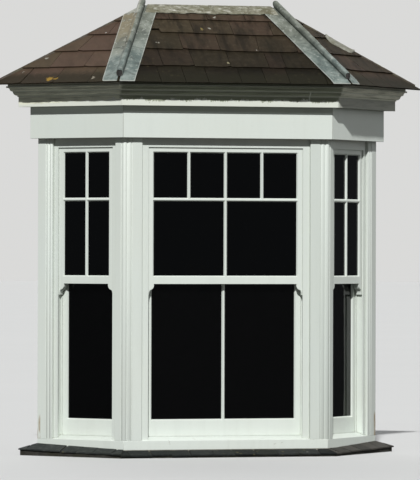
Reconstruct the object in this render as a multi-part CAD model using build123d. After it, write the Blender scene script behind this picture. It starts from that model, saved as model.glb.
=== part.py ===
from build123d import *
import os
from math import atan, cos, degrees, radians, sin, sqrt, tan

# Three-sided bay of white sash windows under a hipped slate roof.
# Millimetres. X runs along the front, Y into the house, Z up from the underside
# of the slate ledge. The bay ends at the plane of the house wall.
# An offset is measured outward from the outer faces of the posts.

# Plan of the bay on the outer faces of the posts
FRONT_WIDTH = 1470.0
PROJECTION = 500.0
CANT = radians(45)

# Posts
POST_FRONT = 130.0
POST_CANT = 72.0
POST_WALL = 121.0
CORNER_BEAD_RADIUS = 20.0
QUIRK_DEPTH = 5.0
QUIRK_WIDTH = 4.0
REED_WIDTH = 30.0
WALL_REED_WIDTH = 22.0
WALL_REED_COUNT = 2

# Sash frames
FRAME_SET_BACK = 20.0
FRAME_DEPTH = 145.0
JAMB_FRONT = 50.0
JAMB_CANT = 34.0
OUTER_LINING = 10.0
PARTING_BEAD = 8.0
LINING_LAP = 12.0
PARTING_LAP = 10.0
HEAD = 69.0
DAYLIGHT_HEIGHT = 2008.0

# Sashes
SASH_THICKNESS = 45.0
SASH_CLEARANCE = 0.5
STILE = 42.0
TOP_RAIL = 38.0
MEETING_RAIL = 58.0
LOWER_TOP_RAIL = 54.0
BOTTOM_RAIL = 119.5
MEETING_RISE = 1060.0
MEETING_LAP = 54.0
TOP_LIGHT_HEIGHT = 311.5
BAR = 25.0
HORN_DROP = 79.0
HORN_SHOULDER = 16.0
HORN_NECK_DROP = 43.0
HORN_NECK = 14.0
HORN_TOE = 5.0
HORN_BULGE = 6.0
HORN_HOLLOW = 2.5
PUTTY_WIDTH = 8.0
GLASS_SET_BACK = 12.0
INNER_SPLAY = 5.0
REBATE = 6.0
GLASS = 4.0
GLASS_CLEARANCE = 0.2

# Ledge, sill, plinth and window board
LEDGE_HEIGHT = 52.0
LEDGE_REACH = 100.0
LEDGE_EDGE = 25.0
LEDGE_WALL_RISE = 28.0
LEDGE_EDGE_WALL_RISE = 14.0
SILL_FACE = 64.0
SILL_RISE = 25.0
SILL_SLOPE_DEPTH = 68.0
PLINTH_DEPTH = 215.0
WINDOW_BOARD = 22.0
WINDOW_BOARD_NOSE = 20.0
NOSE_RADIUS = 8.0
BOARD_GAP = 0.3

# Beam, frieze and cornice
BEAM_OUTSET = 18.0
BEAM_DEPTH = 100.0
BEAM_HEIGHT = 391.0
CEILING_BOARD = 12.0
FRIEZE_REACH = 40.0
FRIEZE_DRIP = 5.0
FRIEZE_HEIGHT = 215.0
CORONA_REACH = 100.0
CORONA_HEIGHT = 70.0
CORONA_BOARD = 20.0
DRIP_GROOVE = 6.0
CORNICE_REACH = 163.0
CROWN_HEIGHT = 73.0
LOWER_FILLET = (6.0, 8.0)
OVOLO = (22.0, 24.0)
MIDDLE_FILLET = (3.0, 6.0)
CROWN_CAP = (4.0, 11.0)
CYMA_SWELL = 4.0
TILTING_FILLET_RISE = 34.0
TILTING_FILLET_SET_BACK = 8.0
TILTING_FILLET_WIDTH = 30.0

# Roof
FRONT_PITCH = radians(37.1)
HIP_TOP_X = 492.0
EAVE_REACH = 225.0
DECK_THICKNESS = 18.0
DECK_OVERHANG = 12.0
EAVE_GAUGES = (166.0, 201.0, 207.0)
UPPER_GAUGE = 172.0
SLATE = 9.0
HIP_GAP = 8.0
RAFTER_WIDTH = 45.0
RAFTER_DEPTH = 95.0
RAFTER_TAIL = 70.0
RAFTER_PITCH = 400.0
FRONT_RAFTERS = 3
JACK_PLACES = (170.0, 450.0)
HIP_RAFTER_WIDTH = 50.0
HIP_RAFTER_DEPTH = 125.0
LEDGER_THICKNESS = 45.0
LEDGER_END = 30.0

# Lead over the hips, and mortar
LEAD = 3.0
LEAD_GAP = 0.3
FRONT_WING = 125.0
CANT_WING = 109.0
ROLL_RADIUS = 21.0
ROLL_LIFT = 17.0
LEAD_EAVE_SET_BACK = 8.0
ROLL_END_SET_BACK = 24.0
TOP_FILLET_RISE = 12.0
TOP_FILLET_REACH = 74.0
TOP_FILLET_END = 44.0
SIDE_FILLET = 16.0

# Brass sash fasteners
FASTENER_SPREAD = 630.0
FASTENER_PLATE = (52.0, 24.0, 3.0)
FASTENER_BARREL_RADIUS = 8.0
FASTENER_BARREL_HEIGHT = 15.0
FASTENER_ARM_WIDTH = 12.0
FASTENER_ARM = 4.0
FASTENER_KNOB_RADIUS = 8.0
FASTENER_SET_BACK = 1.5
KEEPER_WIDTH = 36.0
KEEPER_DEPTH = 18.0

# How far a cut runs past the face that it opens
CUT_PAST = 1.0

# Sizes worked out from those above
SILL_FACE_TOP = LEDGE_HEIGHT + SILL_FACE
SILL_TOP = SILL_FACE_TOP + SILL_RISE
DAYLIGHT_TOP = SILL_TOP + DAYLIGHT_HEIGHT
HEAD_TOP = DAYLIGHT_TOP + HEAD
MEETING_HEIGHT = SILL_TOP + MEETING_RISE
BEAM_TOP = HEAD_TOP + BEAM_HEIGHT
FRIEZE_TOP = HEAD_TOP + FRIEZE_HEIGHT
CORONA_TOP = FRIEZE_TOP + CORONA_HEIGHT
CORNICE_TOP = CORONA_TOP + CROWN_HEIGHT
HALF_FRONT = FRONT_WIDTH / 2
CANT_LENGTH = PROJECTION / sin(CANT)
FRONT_OPENING = FRONT_WIDTH - 2 * (POST_FRONT + JAMB_FRONT)
CANT_OPENING = CANT_LENGTH - POST_CANT - POST_WALL - 2 * JAMB_CANT
CANT_WINDOW_PLACE = POST_CANT + JAMB_CANT + CANT_OPENING / 2
WALL_Y = (PROJECTION + EAVE_REACH) / 2
POCKET = SASH_THICKNESS + 2 * SASH_CLEARANCE
UPPER_POCKET = FRAME_SET_BACK + OUTER_LINING
LOWER_POCKET = UPPER_POCKET + POCKET + PARTING_BEAD
UPPER_FACE = UPPER_POCKET + SASH_CLEARANCE
LOWER_FACE = LOWER_POCKET + SASH_CLEARANCE
POCKET_TOP = DAYLIGHT_TOP + LINING_LAP
LOWER_SASH_TOP = MEETING_HEIGHT + MEETING_LAP
LOWER_SASH_BOTTOM = SILL_TOP + SASH_CLEARANCE
CROSS_REACH = FRONT_WIDTH + PROJECTION
OUTER_REACH = 2 * EAVE_REACH
ROOF_FOOT = CORNICE_TOP + TILTING_FILLET_RISE
ROOF_RUN = PROJECTION + CORNICE_REACH
ROOF_RISE = ROOF_RUN * tan(FRONT_PITCH)
ROOF_TOP = ROOF_FOOT + ROOF_RISE
SLATE_TAIL = DECK_THICKNESS + 2 * SLATE


def corner_point(offset):
    """Right front corner of the bay at an offset, in plan."""
    return (HALF_FRONT + offset * tan(CANT / 2), -PROJECTION - offset)


def wall_point(offset):
    """Where the right cant at an offset meets the wall plane."""
    return (HALF_FRONT + PROJECTION / tan(CANT) + offset / sin(CANT), 0.0)


def cant_point(along, offset):
    """Plan point on the right cant, measured from the front corner."""
    x = HALF_FRONT + along * cos(CANT) + offset * sin(CANT)
    y = -PROJECTION + along * sin(CANT) - offset * cos(CANT)
    return (x, y)


def front_point(inset, offset):
    """Plan point on the front, measured back from the right corner."""
    return (HALF_FRONT - inset, -PROJECTION - offset)


def flip(points):
    return [(-x, y) for x, y in reversed(points)]


def prism(points, bottom, top):
    """Upright solid over a plan outline."""
    face = make_face(Polyline(*points, close=True))
    return extrude(Plane.XY.offset(bottom) * face, top - bottom)


def bay_outline(offset):
    right = [corner_point(offset), wall_point(offset)]
    return flip(right) + right


def bay_ring(outer, inner, bottom, top):
    """Upright wall that follows the three sides of the bay."""
    return prism(bay_outline(outer) + bay_outline(inner)[::-1], bottom, top)


def mitre_sector(side, bottom, top):
    """Plan region of one side between the mitre lines and the wall plane."""
    inner = corner_point(-PROJECTION)
    outer = corner_point(OUTER_REACH)
    if side == "front":
        return prism(flip([inner, outer]) + [inner, outer], bottom, top)
    return prism([inner, outer, wall_point(OUTER_REACH + CROSS_REACH)], bottom, top)


def side_place(side, along=CANT_LENGTH / 2):
    """Where a piece built on the front plane goes on its own side."""
    if side == "front":
        return Location((0, -PROJECTION, 0))
    x, y = cant_point(along, 0)
    return Location((x, y, 0), (0, 0, degrees(CANT)))


def profile_run(points):
    """Profile of offset and height, run along the front plane."""
    plane = Plane(origin=(0, 0, 0), x_dir=(0, -1, 0), z_dir=(-1, 0, 0))
    face = plane * make_face(points)
    return extrude(face, CROSS_REACH, both=True)


def moulding(side, outline, low, high):
    """One side of a moulding that runs round the bay, with mitred ends."""
    return (side_place(side) * profile_run(outline)) & mitre_sector(side, low, high)


def export(node, shape):
    placed = Pos(0, WALL_Y, 0) * shape
    export_step(placed, os.path.join("parts", node + ".step"))


def export_sides(name, maker):
    """Write the front piece, the right one and its mirror image."""
    export(name + "_front", maker("front"))
    right = maker("right")
    export(name + "_right", right)
    export(name + "_left", mirror(right, Plane.YZ))


def export_pair(name, right):
    export(name + "_right", right)
    export(name + "_left", mirror(right, Plane.YZ))


# Foot of the bay

def base_plinth():
    lower = bay_ring(0, -PLINTH_DEPTH, 0, LEDGE_HEIGHT)
    upper = bay_ring(-FRAME_DEPTH, -PLINTH_DEPTH, 0, SILL_TOP - WINDOW_BOARD)
    return lower + upper


def ledge_section(edge, top):
    return Polyline((0, 0), (LEDGE_REACH, 0), (LEDGE_REACH, edge), (0, top), close=True)


def cant_ledge_section(along):
    """Ledge profile at a place on the cant, where it climbs to the wall."""
    share = along / CANT_LENGTH
    edge_share = (along + corner_point(LEDGE_REACH)[0] - HALF_FRONT) / CANT_LENGTH
    outline = ledge_section(
        LEDGE_EDGE + LEDGE_EDGE_WALL_RISE * edge_share, LEDGE_HEIGHT + LEDGE_WALL_RISE * share
    )
    plane = Plane(origin=(along - CANT_LENGTH / 2, 0, 0), x_dir=(0, -1, 0), z_dir=(-1, 0, 0))
    return plane * make_face(outline)


def slate_ledge(side):
    """Sloping ledge: level on the front, climbing to the wall on a cant."""
    high = LEDGE_HEIGHT + LEDGE_WALL_RISE
    if side == "front":
        return moulding(side, ledge_section(LEDGE_EDGE, LEDGE_HEIGHT), 0, high)
    ends = [cant_ledge_section(-LEDGE_REACH), cant_ledge_section(CANT_LENGTH + 2 * LEDGE_REACH)]
    return (side_place(side) * loft(ends, ruled=True)) & mitre_sector(side, 0, 2 * high)


def sill(side):
    points = [
        (0, LEDGE_HEIGHT),
        (0, SILL_FACE_TOP),
        (-SILL_SLOPE_DEPTH, SILL_TOP),
        (-FRAME_DEPTH, SILL_TOP),
        (-FRAME_DEPTH, LEDGE_HEIGHT),
    ]
    return moulding(side, Polyline(*points, close=True), LEDGE_HEIGHT, SILL_TOP)


def window_board():
    """Inner sill board with a rounded nose towards the room."""
    inner = -PLINTH_DEPTH - WINDOW_BOARD_NOSE
    top = SILL_TOP
    board = bay_ring(-FRAME_DEPTH - BOARD_GAP, inner, top - WINDOW_BOARD, top)
    nose = board.edges().filter_by(Axis.X).group_by(Axis.Y)[-1]
    return fillet(nose, NOSE_RADIUS)


# Posts

def quirk_run(radius):
    """Distance from a bead's tangent point to where it enters its quirk."""
    return sqrt(radius ** 2 - (radius - QUIRK_DEPTH) ** 2)


def corner_post():
    """Post at the right corner: corner bead, one reed and a flat board."""
    bead_tangent = CORNER_BEAD_RADIUS * tan(CANT / 2)
    bead_end = bead_tangent + quirk_run(CORNER_BEAD_RADIUS)
    bead_inset = CORNER_BEAD_RADIUS / cos(CANT / 2) - CORNER_BEAD_RADIUS
    nose = (
        HALF_FRONT - bead_inset * sin(CANT / 2),
        -PROJECTION + bead_inset * cos(CANT / 2),
    )
    reed_start = bead_end + QUIRK_WIDTH
    reed_end = reed_start + REED_WIDTH
    inner_front = front_point(POST_FRONT, -FRAME_DEPTH)
    edges = [
        Line(front_point(POST_FRONT, 0), front_point(reed_end + QUIRK_WIDTH, 0)),
        Line(front_point(reed_end + QUIRK_WIDTH, 0), front_point(reed_end, -QUIRK_DEPTH)),
        ThreePointArc(
            front_point(reed_end, -QUIRK_DEPTH),
            front_point((reed_start + reed_end) / 2, 0),
            front_point(reed_start, -QUIRK_DEPTH),
        ),
        Line(front_point(reed_start, -QUIRK_DEPTH), front_point(bead_end, -QUIRK_DEPTH)),
        ThreePointArc(
            front_point(bead_end, -QUIRK_DEPTH), nose, cant_point(bead_end, -QUIRK_DEPTH)
        ),
        Line(cant_point(bead_end, -QUIRK_DEPTH), cant_point(bead_end + QUIRK_WIDTH, 0)),
        Line(cant_point(bead_end + QUIRK_WIDTH, 0), cant_point(POST_CANT, 0)),
        Line(cant_point(POST_CANT, 0), cant_point(POST_CANT, -FRAME_DEPTH)),
        Line(cant_point(POST_CANT, -FRAME_DEPTH), corner_point(-FRAME_DEPTH)),
        Line(corner_point(-FRAME_DEPTH), inner_front),
        Line(inner_front, front_point(POST_FRONT, 0)),
    ]
    return stand_on_sill(make_face(edges), ["front", "right"])


def wall_post():
    """Post against the right wall: reeds beside the window and a flat board."""
    start = CANT_LENGTH - POST_WALL
    past = CANT_LENGTH + FRAME_DEPTH
    at = start + QUIRK_WIDTH
    here = cant_point(start, 0)
    edges = [Line(here, cant_point(at, -QUIRK_DEPTH))]
    for reed in range(WALL_REED_COUNT):
        end = at + WALL_REED_WIDTH
        edges.append(ThreePointArc(
            cant_point(at, -QUIRK_DEPTH),
            cant_point((at + end) / 2, 0),
            cant_point(end, -QUIRK_DEPTH),
        ))
        at = end
        if reed < WALL_REED_COUNT - 1:
            edges.append(Line(cant_point(at, -QUIRK_DEPTH), cant_point(at + QUIRK_WIDTH, -QUIRK_DEPTH)))
            at += QUIRK_WIDTH
    edges += [
        Line(cant_point(at, -QUIRK_DEPTH), cant_point(at + QUIRK_WIDTH, 0)),
        Line(cant_point(at + QUIRK_WIDTH, 0), cant_point(past, 0)),
        Line(cant_point(past, 0), cant_point(past, -FRAME_DEPTH)),
        Line(cant_point(past, -FRAME_DEPTH), cant_point(start, -FRAME_DEPTH)),
        Line(cant_point(start, -FRAME_DEPTH), here),
    ]
    post = stand_on_sill(make_face(edges), ["right"])
    return post & mitre_sector("right", LEDGE_HEIGHT, HEAD_TOP)


def stand_on_sill(face, sides):
    """Raise a post from the weathered top of the sill to the beam."""
    post = extrude(Plane.XY.offset(LEDGE_HEIGHT) * face, HEAD_TOP - LEDGE_HEIGHT)
    for side in sides:
        post -= sill(side)
    return post


# Windows, built on the front plane with depth towards the house

def block(width, near, far, bottom, top):
    """Upright box centred on the window, from a near depth to a far one."""
    size = Box(width, far - near, top - bottom)
    return Pos(0, (near + far) / 2, (bottom + top) / 2) * size


def window_frame(side):
    """Jambs and head with linings and parting bead, notched over the sill."""
    opening, jamb = (FRONT_OPENING, JAMB_FRONT) if side == "front" else (CANT_OPENING, JAMB_CANT)
    section = [
        (0, SILL_FACE_TOP),
        (-SILL_SLOPE_DEPTH, SILL_TOP),
        (-FRAME_DEPTH, SILL_TOP),
        (-FRAME_DEPTH, HEAD_TOP),
        (0, HEAD_TOP),
    ]
    width = opening + 2 * jamb
    run = profile_run(Polyline(*section, close=True))
    frame = run & block(width, FRAME_SET_BACK, FRAME_DEPTH, LEDGE_HEIGHT, HEAD_TOP)
    pocket_width = opening + 2 * LINING_LAP
    parting_width = opening + 2 * (LINING_LAP - PARTING_LAP)
    upper_end = UPPER_POCKET + POCKET
    frame -= block(opening, -CUT_PAST, FRAME_DEPTH + CUT_PAST, 0, DAYLIGHT_TOP)
    frame -= block(pocket_width, UPPER_POCKET, upper_end, 0, POCKET_TOP)
    frame -= block(pocket_width, LOWER_POCKET, LOWER_POCKET + POCKET, 0, POCKET_TOP)
    frame -= block(parting_width, upper_end, LOWER_POCKET, 0, POCKET_TOP - PARTING_LAP)
    placed = side_place(side, CANT_WINDOW_PLACE) * frame
    return placed & mitre_sector(side, LEDGE_HEIGHT, HEAD_TOP)


def light_cutter(width, height):
    """Opening of one light: putty slope, glass rebate and splayed inside."""
    outer = GLASS_SET_BACK + CUT_PAST
    grow = PUTTY_WIDTH * outer / GLASS_SET_BACK
    sight = Rectangle(width, height)
    plane = Plane.XZ
    putty = loft([
        plane * sight,
        plane.offset(outer) * Rectangle(width + 2 * grow, height + 2 * grow),
    ])
    groove = GLASS + 2 * GLASS_CLEARANCE
    back = SASH_THICKNESS - GLASS_SET_BACK - groove + CUT_PAST
    start = plane.offset(-groove)
    inside = loft([
        start * sight,
        start.offset(-back) * Rectangle(width + 2 * INNER_SPLAY, height + 2 * INNER_SPLAY),
    ])
    rebate = extrude(plane * Rectangle(width + 2 * REBATE, height + 2 * REBATE), -groove)
    return Pos(0, GLASS_SET_BACK, 0) * (putty + inside + rebate)


def light_grid(glass_width, rows):
    """Centre and size of every light in rows of equal columns."""
    lights = []
    for columns, bottom, top in rows:
        width = (glass_width - (columns - 1) * BAR) / columns
        for column in range(columns):
            x = -glass_width / 2 + width / 2 + column * (width + BAR)
            lights.append((x, (bottom + top) / 2, width, top - bottom))
    return lights


def upper_rows(columns):
    """Lights of an upper sash: a tall row below and a short row on top."""
    bottom = MEETING_HEIGHT + MEETING_RAIL
    top = DAYLIGHT_TOP - TOP_RAIL
    split = top - TOP_LIGHT_HEIGHT
    return [(columns[0], bottom, split - BAR), (columns[1], split, top)]


def lower_rows(columns):
    bottom = LOWER_SASH_BOTTOM + BOTTOM_RAIL
    return [(columns, bottom, LOWER_SASH_TOP - LOWER_TOP_RAIL)]


def horn():
    """Ogee end of the right stile below the meeting rail."""
    outer = LINING_LAP - SASH_CLEARANCE
    height = MEETING_HEIGHT
    shoulder = (-STILE, height - HORN_SHOULDER)
    neck = (-HORN_NECK, height - HORN_NECK_DROP)
    toe = (-HORN_TOE, height - HORN_DROP)
    tip = (outer, height - HORN_DROP)
    edges = [
        Line((-STILE, height), shoulder),
        SagittaArc(shoulder, neck, -HORN_BULGE),
        SagittaArc(neck, toe, HORN_HOLLOW),
        Line(toe, tip),
        Line(tip, (outer, height)),
        Line((outer, height), (-STILE, height)),
    ]
    return extrude(Plane.XZ * make_face(edges), -SASH_THICKNESS)


def sash(opening, bottom, top, rows, face):
    """Stiles, rails and bars of one sash, with its outer face at a depth."""
    width = opening + 2 * (LINING_LAP - SASH_CLEARANCE)
    body = block(width, 0, SASH_THICKNESS, bottom, top)
    if bottom == MEETING_HEIGHT:
        right_horn = Pos(opening / 2, 0, 0) * horn()
        body += right_horn + mirror(right_horn, Plane.YZ)
    for x, z, w, h in light_grid(opening - 2 * STILE, rows):
        body -= Pos(x, 0, z) * light_cutter(w, h)
    return Pos(0, face, 0) * body


def panes(opening, rows, face):
    """Glass of one sash, a loose pane in every light."""
    slack = 2 * (REBATE - GLASS_CLEARANCE)
    depth = face + GLASS_SET_BACK + GLASS_CLEARANCE
    return [
        Pos(x, depth + GLASS / 2, z) * Box(w + slack, GLASS, h + slack)
        for x, z, w, h in light_grid(opening - 2 * STILE, rows)
    ]


def side_opening(side):
    return FRONT_OPENING if side == "front" else CANT_OPENING


def upper_columns(side):
    return (2, 4) if side == "front" else (2, 2)


def lower_columns(side):
    return 2 if side == "front" else 1


def upper_sash(side):
    top = POCKET_TOP - SASH_CLEARANCE
    rows = upper_rows(upper_columns(side))
    piece = sash(side_opening(side), MEETING_HEIGHT, top, rows, UPPER_FACE)
    return side_place(side, CANT_WINDOW_PLACE) * piece


def lower_sash(side):
    rows = lower_rows(lower_columns(side))
    piece = sash(side_opening(side), LOWER_SASH_BOTTOM, LOWER_SASH_TOP, rows, LOWER_FACE)
    return side_place(side, CANT_WINDOW_PLACE) * piece


def glass(side):
    opening = side_opening(side)
    sheets = panes(opening, upper_rows(upper_columns(side)), UPPER_FACE)
    sheets += panes(opening, lower_rows(lower_columns(side)), LOWER_FACE)
    return side_place(side, CANT_WINDOW_PLACE) * Compound(sheets)


def sash_fastener():
    """Brass fastener on the lower sash, with its arm over the upper rail."""
    length, depth, thickness = FASTENER_PLATE
    upper_top = MEETING_HEIGHT + MEETING_RAIL
    pivot_y = LOWER_FACE + depth / 2 + FASTENER_SET_BACK
    keeper_y = UPPER_FACE + SASH_THICKNESS - KEEPER_DEPTH / 2 - FASTENER_SET_BACK
    arm_bottom = upper_top + thickness
    plate = Pos(0, pivot_y, LOWER_SASH_TOP + thickness / 2) * Box(length, depth, thickness)
    barrel_height = arm_bottom + FASTENER_ARM - LOWER_SASH_TOP
    barrel = Pos(0, pivot_y, LOWER_SASH_TOP + barrel_height / 2) * Cylinder(
        FASTENER_BARREL_RADIUS, barrel_height
    )
    keeper = Pos(0, keeper_y, upper_top + thickness / 2) * Box(KEEPER_WIDTH, KEEPER_DEPTH, thickness)
    arm = Pos(0, (keeper_y + pivot_y) / 2, arm_bottom + FASTENER_ARM / 2) * Box(
        FASTENER_ARM_WIDTH, pivot_y - keeper_y, FASTENER_ARM
    )
    stem = Pos(0, pivot_y, arm_bottom + FASTENER_BARREL_HEIGHT / 2) * Cylinder(
        FASTENER_BARREL_RADIUS / 2, FASTENER_BARREL_HEIGHT
    )
    knob = Pos(0, pivot_y, arm_bottom + FASTENER_BARREL_HEIGHT) * Sphere(FASTENER_KNOB_RADIUS)
    return plate + barrel + keeper + arm + stem + knob


def sash_fasteners():
    right = side_place("front") * Pos(FASTENER_SPREAD / 2, 0, 0) * sash_fastener()
    return Compound([right, mirror(right, Plane.YZ)])


# Beam, frieze and cornice

def ring_beam():
    return bay_ring(BEAM_OUTSET, BEAM_OUTSET - BEAM_DEPTH, HEAD_TOP, BEAM_TOP)


def ceiling_board():
    outline = bay_outline(BEAM_OUTSET - BEAM_DEPTH - BOARD_GAP)
    return prism(outline, HEAD_TOP, HEAD_TOP + CEILING_BOARD)


def frieze(side):
    bottom = HEAD_TOP - FRIEZE_DRIP
    points = [
        (BEAM_OUTSET, bottom),
        (FRIEZE_REACH, bottom),
        (FRIEZE_REACH, FRIEZE_TOP),
        (BEAM_OUTSET, FRIEZE_TOP),
    ]
    return moulding(side, Polyline(*points, close=True), bottom, FRIEZE_TOP)


def crown_edges():
    """Crown moulding over the corona: fillet, ovolo, fillet, cyma and cap."""
    lower = (CORONA_REACH + LOWER_FILLET[0], CORONA_TOP + LOWER_FILLET[1])
    upper = (lower[0] + OVOLO[0], lower[1] + OVOLO[1])
    round_middle = (upper[0] - OVOLO[0] * (1 - cos(CANT)), upper[1] - OVOLO[1] * sin(CANT))
    start = (upper[0] + MIDDLE_FILLET[0], upper[1] + MIDDLE_FILLET[1])
    end = (CORNICE_REACH - CROWN_CAP[0], CORNICE_TOP - CROWN_CAP[1])
    middle = ((start[0] + end[0]) / 2, (start[1] + end[1]) / 2)
    return [
        Polyline((CORONA_REACH, CORONA_TOP), (lower[0], CORONA_TOP), lower),
        ThreePointArc(lower, round_middle, upper),
        Polyline(upper, (start[0], upper[1]), start),
        SagittaArc(start, middle, -CYMA_SWELL),
        SagittaArc(middle, end, CYMA_SWELL),
        Polyline(end, (CORNICE_REACH, end[1]), (CORNICE_REACH, CORNICE_TOP)),
    ]


def tilting_fillet():
    """Corners of the strip on the cornice that carries the boards' edge."""
    outer = TILTING_FILLET_SET_BACK
    inner = outer + TILTING_FILLET_WIDTH
    slope = tan(pitch_of("right"))
    return [
        (CORNICE_REACH - outer, CORNICE_TOP),
        (CORNICE_REACH - outer, ROOF_FOOT + outer * slope),
        (CORNICE_REACH - inner, ROOF_FOOT + inner * slope),
        (CORNICE_REACH - inner, CORNICE_TOP),
    ]


def cornice(side):
    """Soffit, corona board, crown moulding and a fillet under the boards."""
    inner = CORONA_REACH - CORONA_BOARD
    groove = CORONA_REACH - 2 * DRIP_GROOVE
    soffit = Polyline(
        (BEAM_OUTSET, FRIEZE_TOP),
        (groove - DRIP_GROOVE, FRIEZE_TOP),
        (groove - DRIP_GROOVE, FRIEZE_TOP + DRIP_GROOVE),
        (groove, FRIEZE_TOP + DRIP_GROOVE),
        (groove, FRIEZE_TOP),
        (CORONA_REACH, FRIEZE_TOP),
        (CORONA_REACH, CORONA_TOP),
    )
    back = Polyline(
        (CORNICE_REACH, CORNICE_TOP),
        *tilting_fillet(),
        (inner, CORNICE_TOP),
        (inner, FRIEZE_TOP + CORONA_BOARD),
        (BEAM_OUTSET, FRIEZE_TOP + CORONA_BOARD),
        (BEAM_OUTSET, FRIEZE_TOP),
    )
    return moulding(side, [soffit, *crown_edges(), back], FRIEZE_TOP, ROOF_TOP)


# Roof

def cant_run():
    """Level distance from the cant's cornice edge to the top of the hip."""
    x, y = corner_point(CORNICE_REACH)
    return (x - HIP_TOP_X) * sin(CANT) - y * cos(CANT)


def pitch_of(side):
    return FRONT_PITCH if side == "front" else atan(ROOF_RISE / cant_run())


def on_slope(side, up, height):
    """Offset and level of a point up the slope, and square to it."""
    pitch = pitch_of(side)
    offset = CORNICE_REACH - up * cos(pitch) + height * sin(pitch)
    return (offset, ROOF_FOOT + up * sin(pitch) + height * cos(pitch))


def roof_sector(side, gap):
    """Plan region of one slope, kept back from the hips by a gap."""
    x, y = corner_point(CORNICE_REACH)
    lean = (x - HIP_TOP_X) / -y
    step = gap * sqrt(1 + lean ** 2)
    far = ROOF_RUN + OUTER_REACH
    low, high = HEAD_TOP, ROOF_TOP + OUTER_REACH
    if side == "front":
        right = [(HIP_TOP_X - step + lean * far, -far), (HIP_TOP_X - step, 0)]
        return prism(flip(right) + right, low, high)
    start = HIP_TOP_X + step
    points = [(start, 0), (start + lean * far, -far), (CROSS_REACH, -far), (CROSS_REACH, 0)]
    return prism(points, low, high)


def slope_layer(side, outline, gap=0.0):
    return (side_place(side) * profile_run(outline)) & roof_sector(side, gap)


def slope_length(side):
    run = ROOF_RUN if side == "front" else cant_run()
    return run / cos(pitch_of(side))


def roof_boards(side):
    """Boarding under the slates."""
    start = -DECK_OVERHANG / cos(pitch_of(side))
    end = slope_length(side) + DECK_THICKNESS * 2
    points = [
        on_slope(side, start, 0),
        on_slope(side, end, 0),
        on_slope(side, end, DECK_THICKNESS),
        on_slope(side, start, DECK_THICKNESS),
    ]
    return slope_layer(side, Polyline(*points, close=True))


def slates_start(side):
    """Tail of the eave course, measured up the slope."""
    pitch = pitch_of(side)
    return -(EAVE_REACH - CORNICE_REACH) / cos(pitch) + SLATE_TAIL * tan(pitch)


def course_tails(side):
    """Places of the slates' tails up the slope: a short gauge at the top."""
    tails = [slates_start(side)]
    for gauge in EAVE_GAUGES:
        tails.append(tails[-1] + gauge)
    while tails[-1] < slope_length(side):
        tails.append(tails[-1] + UPPER_GAUGE)
    return tails


def roof_slates(side):
    """Courses of slates, each lifted at its tail by the one below."""
    tails = course_tails(side)
    points = [on_slope(side, tails[0], DECK_THICKNESS)]
    for tail, next_tail in zip(tails, tails[1:]):
        points.append(on_slope(side, tail, SLATE_TAIL))
        points.append(on_slope(side, next_tail, DECK_THICKNESS + SLATE))
    points.append(on_slope(side, tails[-1], DECK_THICKNESS))
    return slope_layer(side, Polyline(*points, close=True), HIP_GAP)


def rafter_run(side):
    """Long rafter section between its tail and the far side of the roof."""
    pitch = pitch_of(side)
    start = (CORNICE_REACH - RAFTER_TAIL) / cos(pitch)
    drop = RAFTER_DEPTH / cos(pitch)
    end = slope_length(side)
    low, high = on_slope(side, start, 0), on_slope(side, end, 0)
    points = [low, high, (high[0], high[1] - drop), (low[0], low[1] - drop)]
    plane = Plane(origin=(0, 0, 0), x_dir=(0, -1, 0), z_dir=(-1, 0, 0))
    face = plane * make_face(Polyline(*points, close=True))
    return extrude(face, RAFTER_WIDTH / 2, both=True)


def rafters():
    """Common rafters of the front and jack rafters of the cants."""
    beam = ring_beam()
    before_ledger = Pos(0, -LEDGER_THICKNESS, 0) * roof_sector("front", 0)
    front = side_place("front") * rafter_run("front")
    front = (front & before_ledger) - beam
    pieces = [
        Pos((place - (FRONT_RAFTERS - 1) / 2) * RAFTER_PITCH, 0, 0) * front
        for place in range(FRONT_RAFTERS)
    ]
    beside_hip = roof_sector("right", HIP_RAFTER_WIDTH / 2)
    for along in JACK_PLACES:
        jack = ((side_place("right", along) * rafter_run("right")) & beside_hip) - beam
        pieces += [jack, mirror(jack, Plane.YZ)]
    return Compound(pieces)


def hip_direction():
    """Unit vector up the right hip and its foot on the cornice edge."""
    x, y = corner_point(CORNICE_REACH)
    foot = Vector(x, y, ROOF_FOOT)
    top = Vector(HIP_TOP_X, 0, ROOF_TOP)
    return foot, (top - foot).normalized()


def hip_rafter():
    """Plank under the right hip, its top edge backed to both slopes."""
    foot, along = hip_direction()
    drop = Vector(0, 0, -HIP_RAFTER_DEPTH)
    start = (CORNICE_REACH - RAFTER_TAIL) / ROOF_RUN
    low = foot + along * (start * (Vector(HIP_TOP_X, 0, ROOF_TOP) - foot).length)
    high = Vector(HIP_TOP_X, 0, ROOF_TOP) + along * HIP_RAFTER_WIDTH
    face = make_face(Polyline(low, high, high + drop, low + drop, close=True))
    plank = extrude(face, HIP_RAFTER_WIDTH / 2, both=True)
    plank &= roof_sector("front", -HIP_RAFTER_WIDTH)
    plank &= prism(bay_outline(RAFTER_TAIL), FRIEZE_TOP, ROOF_TOP)
    return plank - roof_boards("front") - roof_boards("right") - ring_beam()


def wall_ledger():
    """Timber on the house wall that carries the tops of the rafters."""
    top = ROOF_TOP - LEDGER_THICKNESS * tan(FRONT_PITCH)
    depth = RAFTER_DEPTH / cos(FRONT_PITCH)
    size = Box(2 * (HIP_TOP_X - LEDGER_END), LEDGER_THICKNESS, depth)
    return Pos(0, -LEDGER_THICKNESS / 2, top - depth / 2) * size


# Lead and mortar

def slope_normal(side):
    pitch = pitch_of(side)
    if side == "front":
        return Vector(0, -sin(pitch), cos(pitch))
    return Vector(sin(CANT) * sin(pitch), -cos(CANT) * sin(pitch), cos(pitch))


def hip_section():
    """Plane across the right hip and the level where its two slopes meet."""
    foot, along = hip_direction()
    across = Vector(0, 0, 1).cross(along).normalized()
    return Plane(origin=foot, x_dir=across, z_dir=along)


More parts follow.
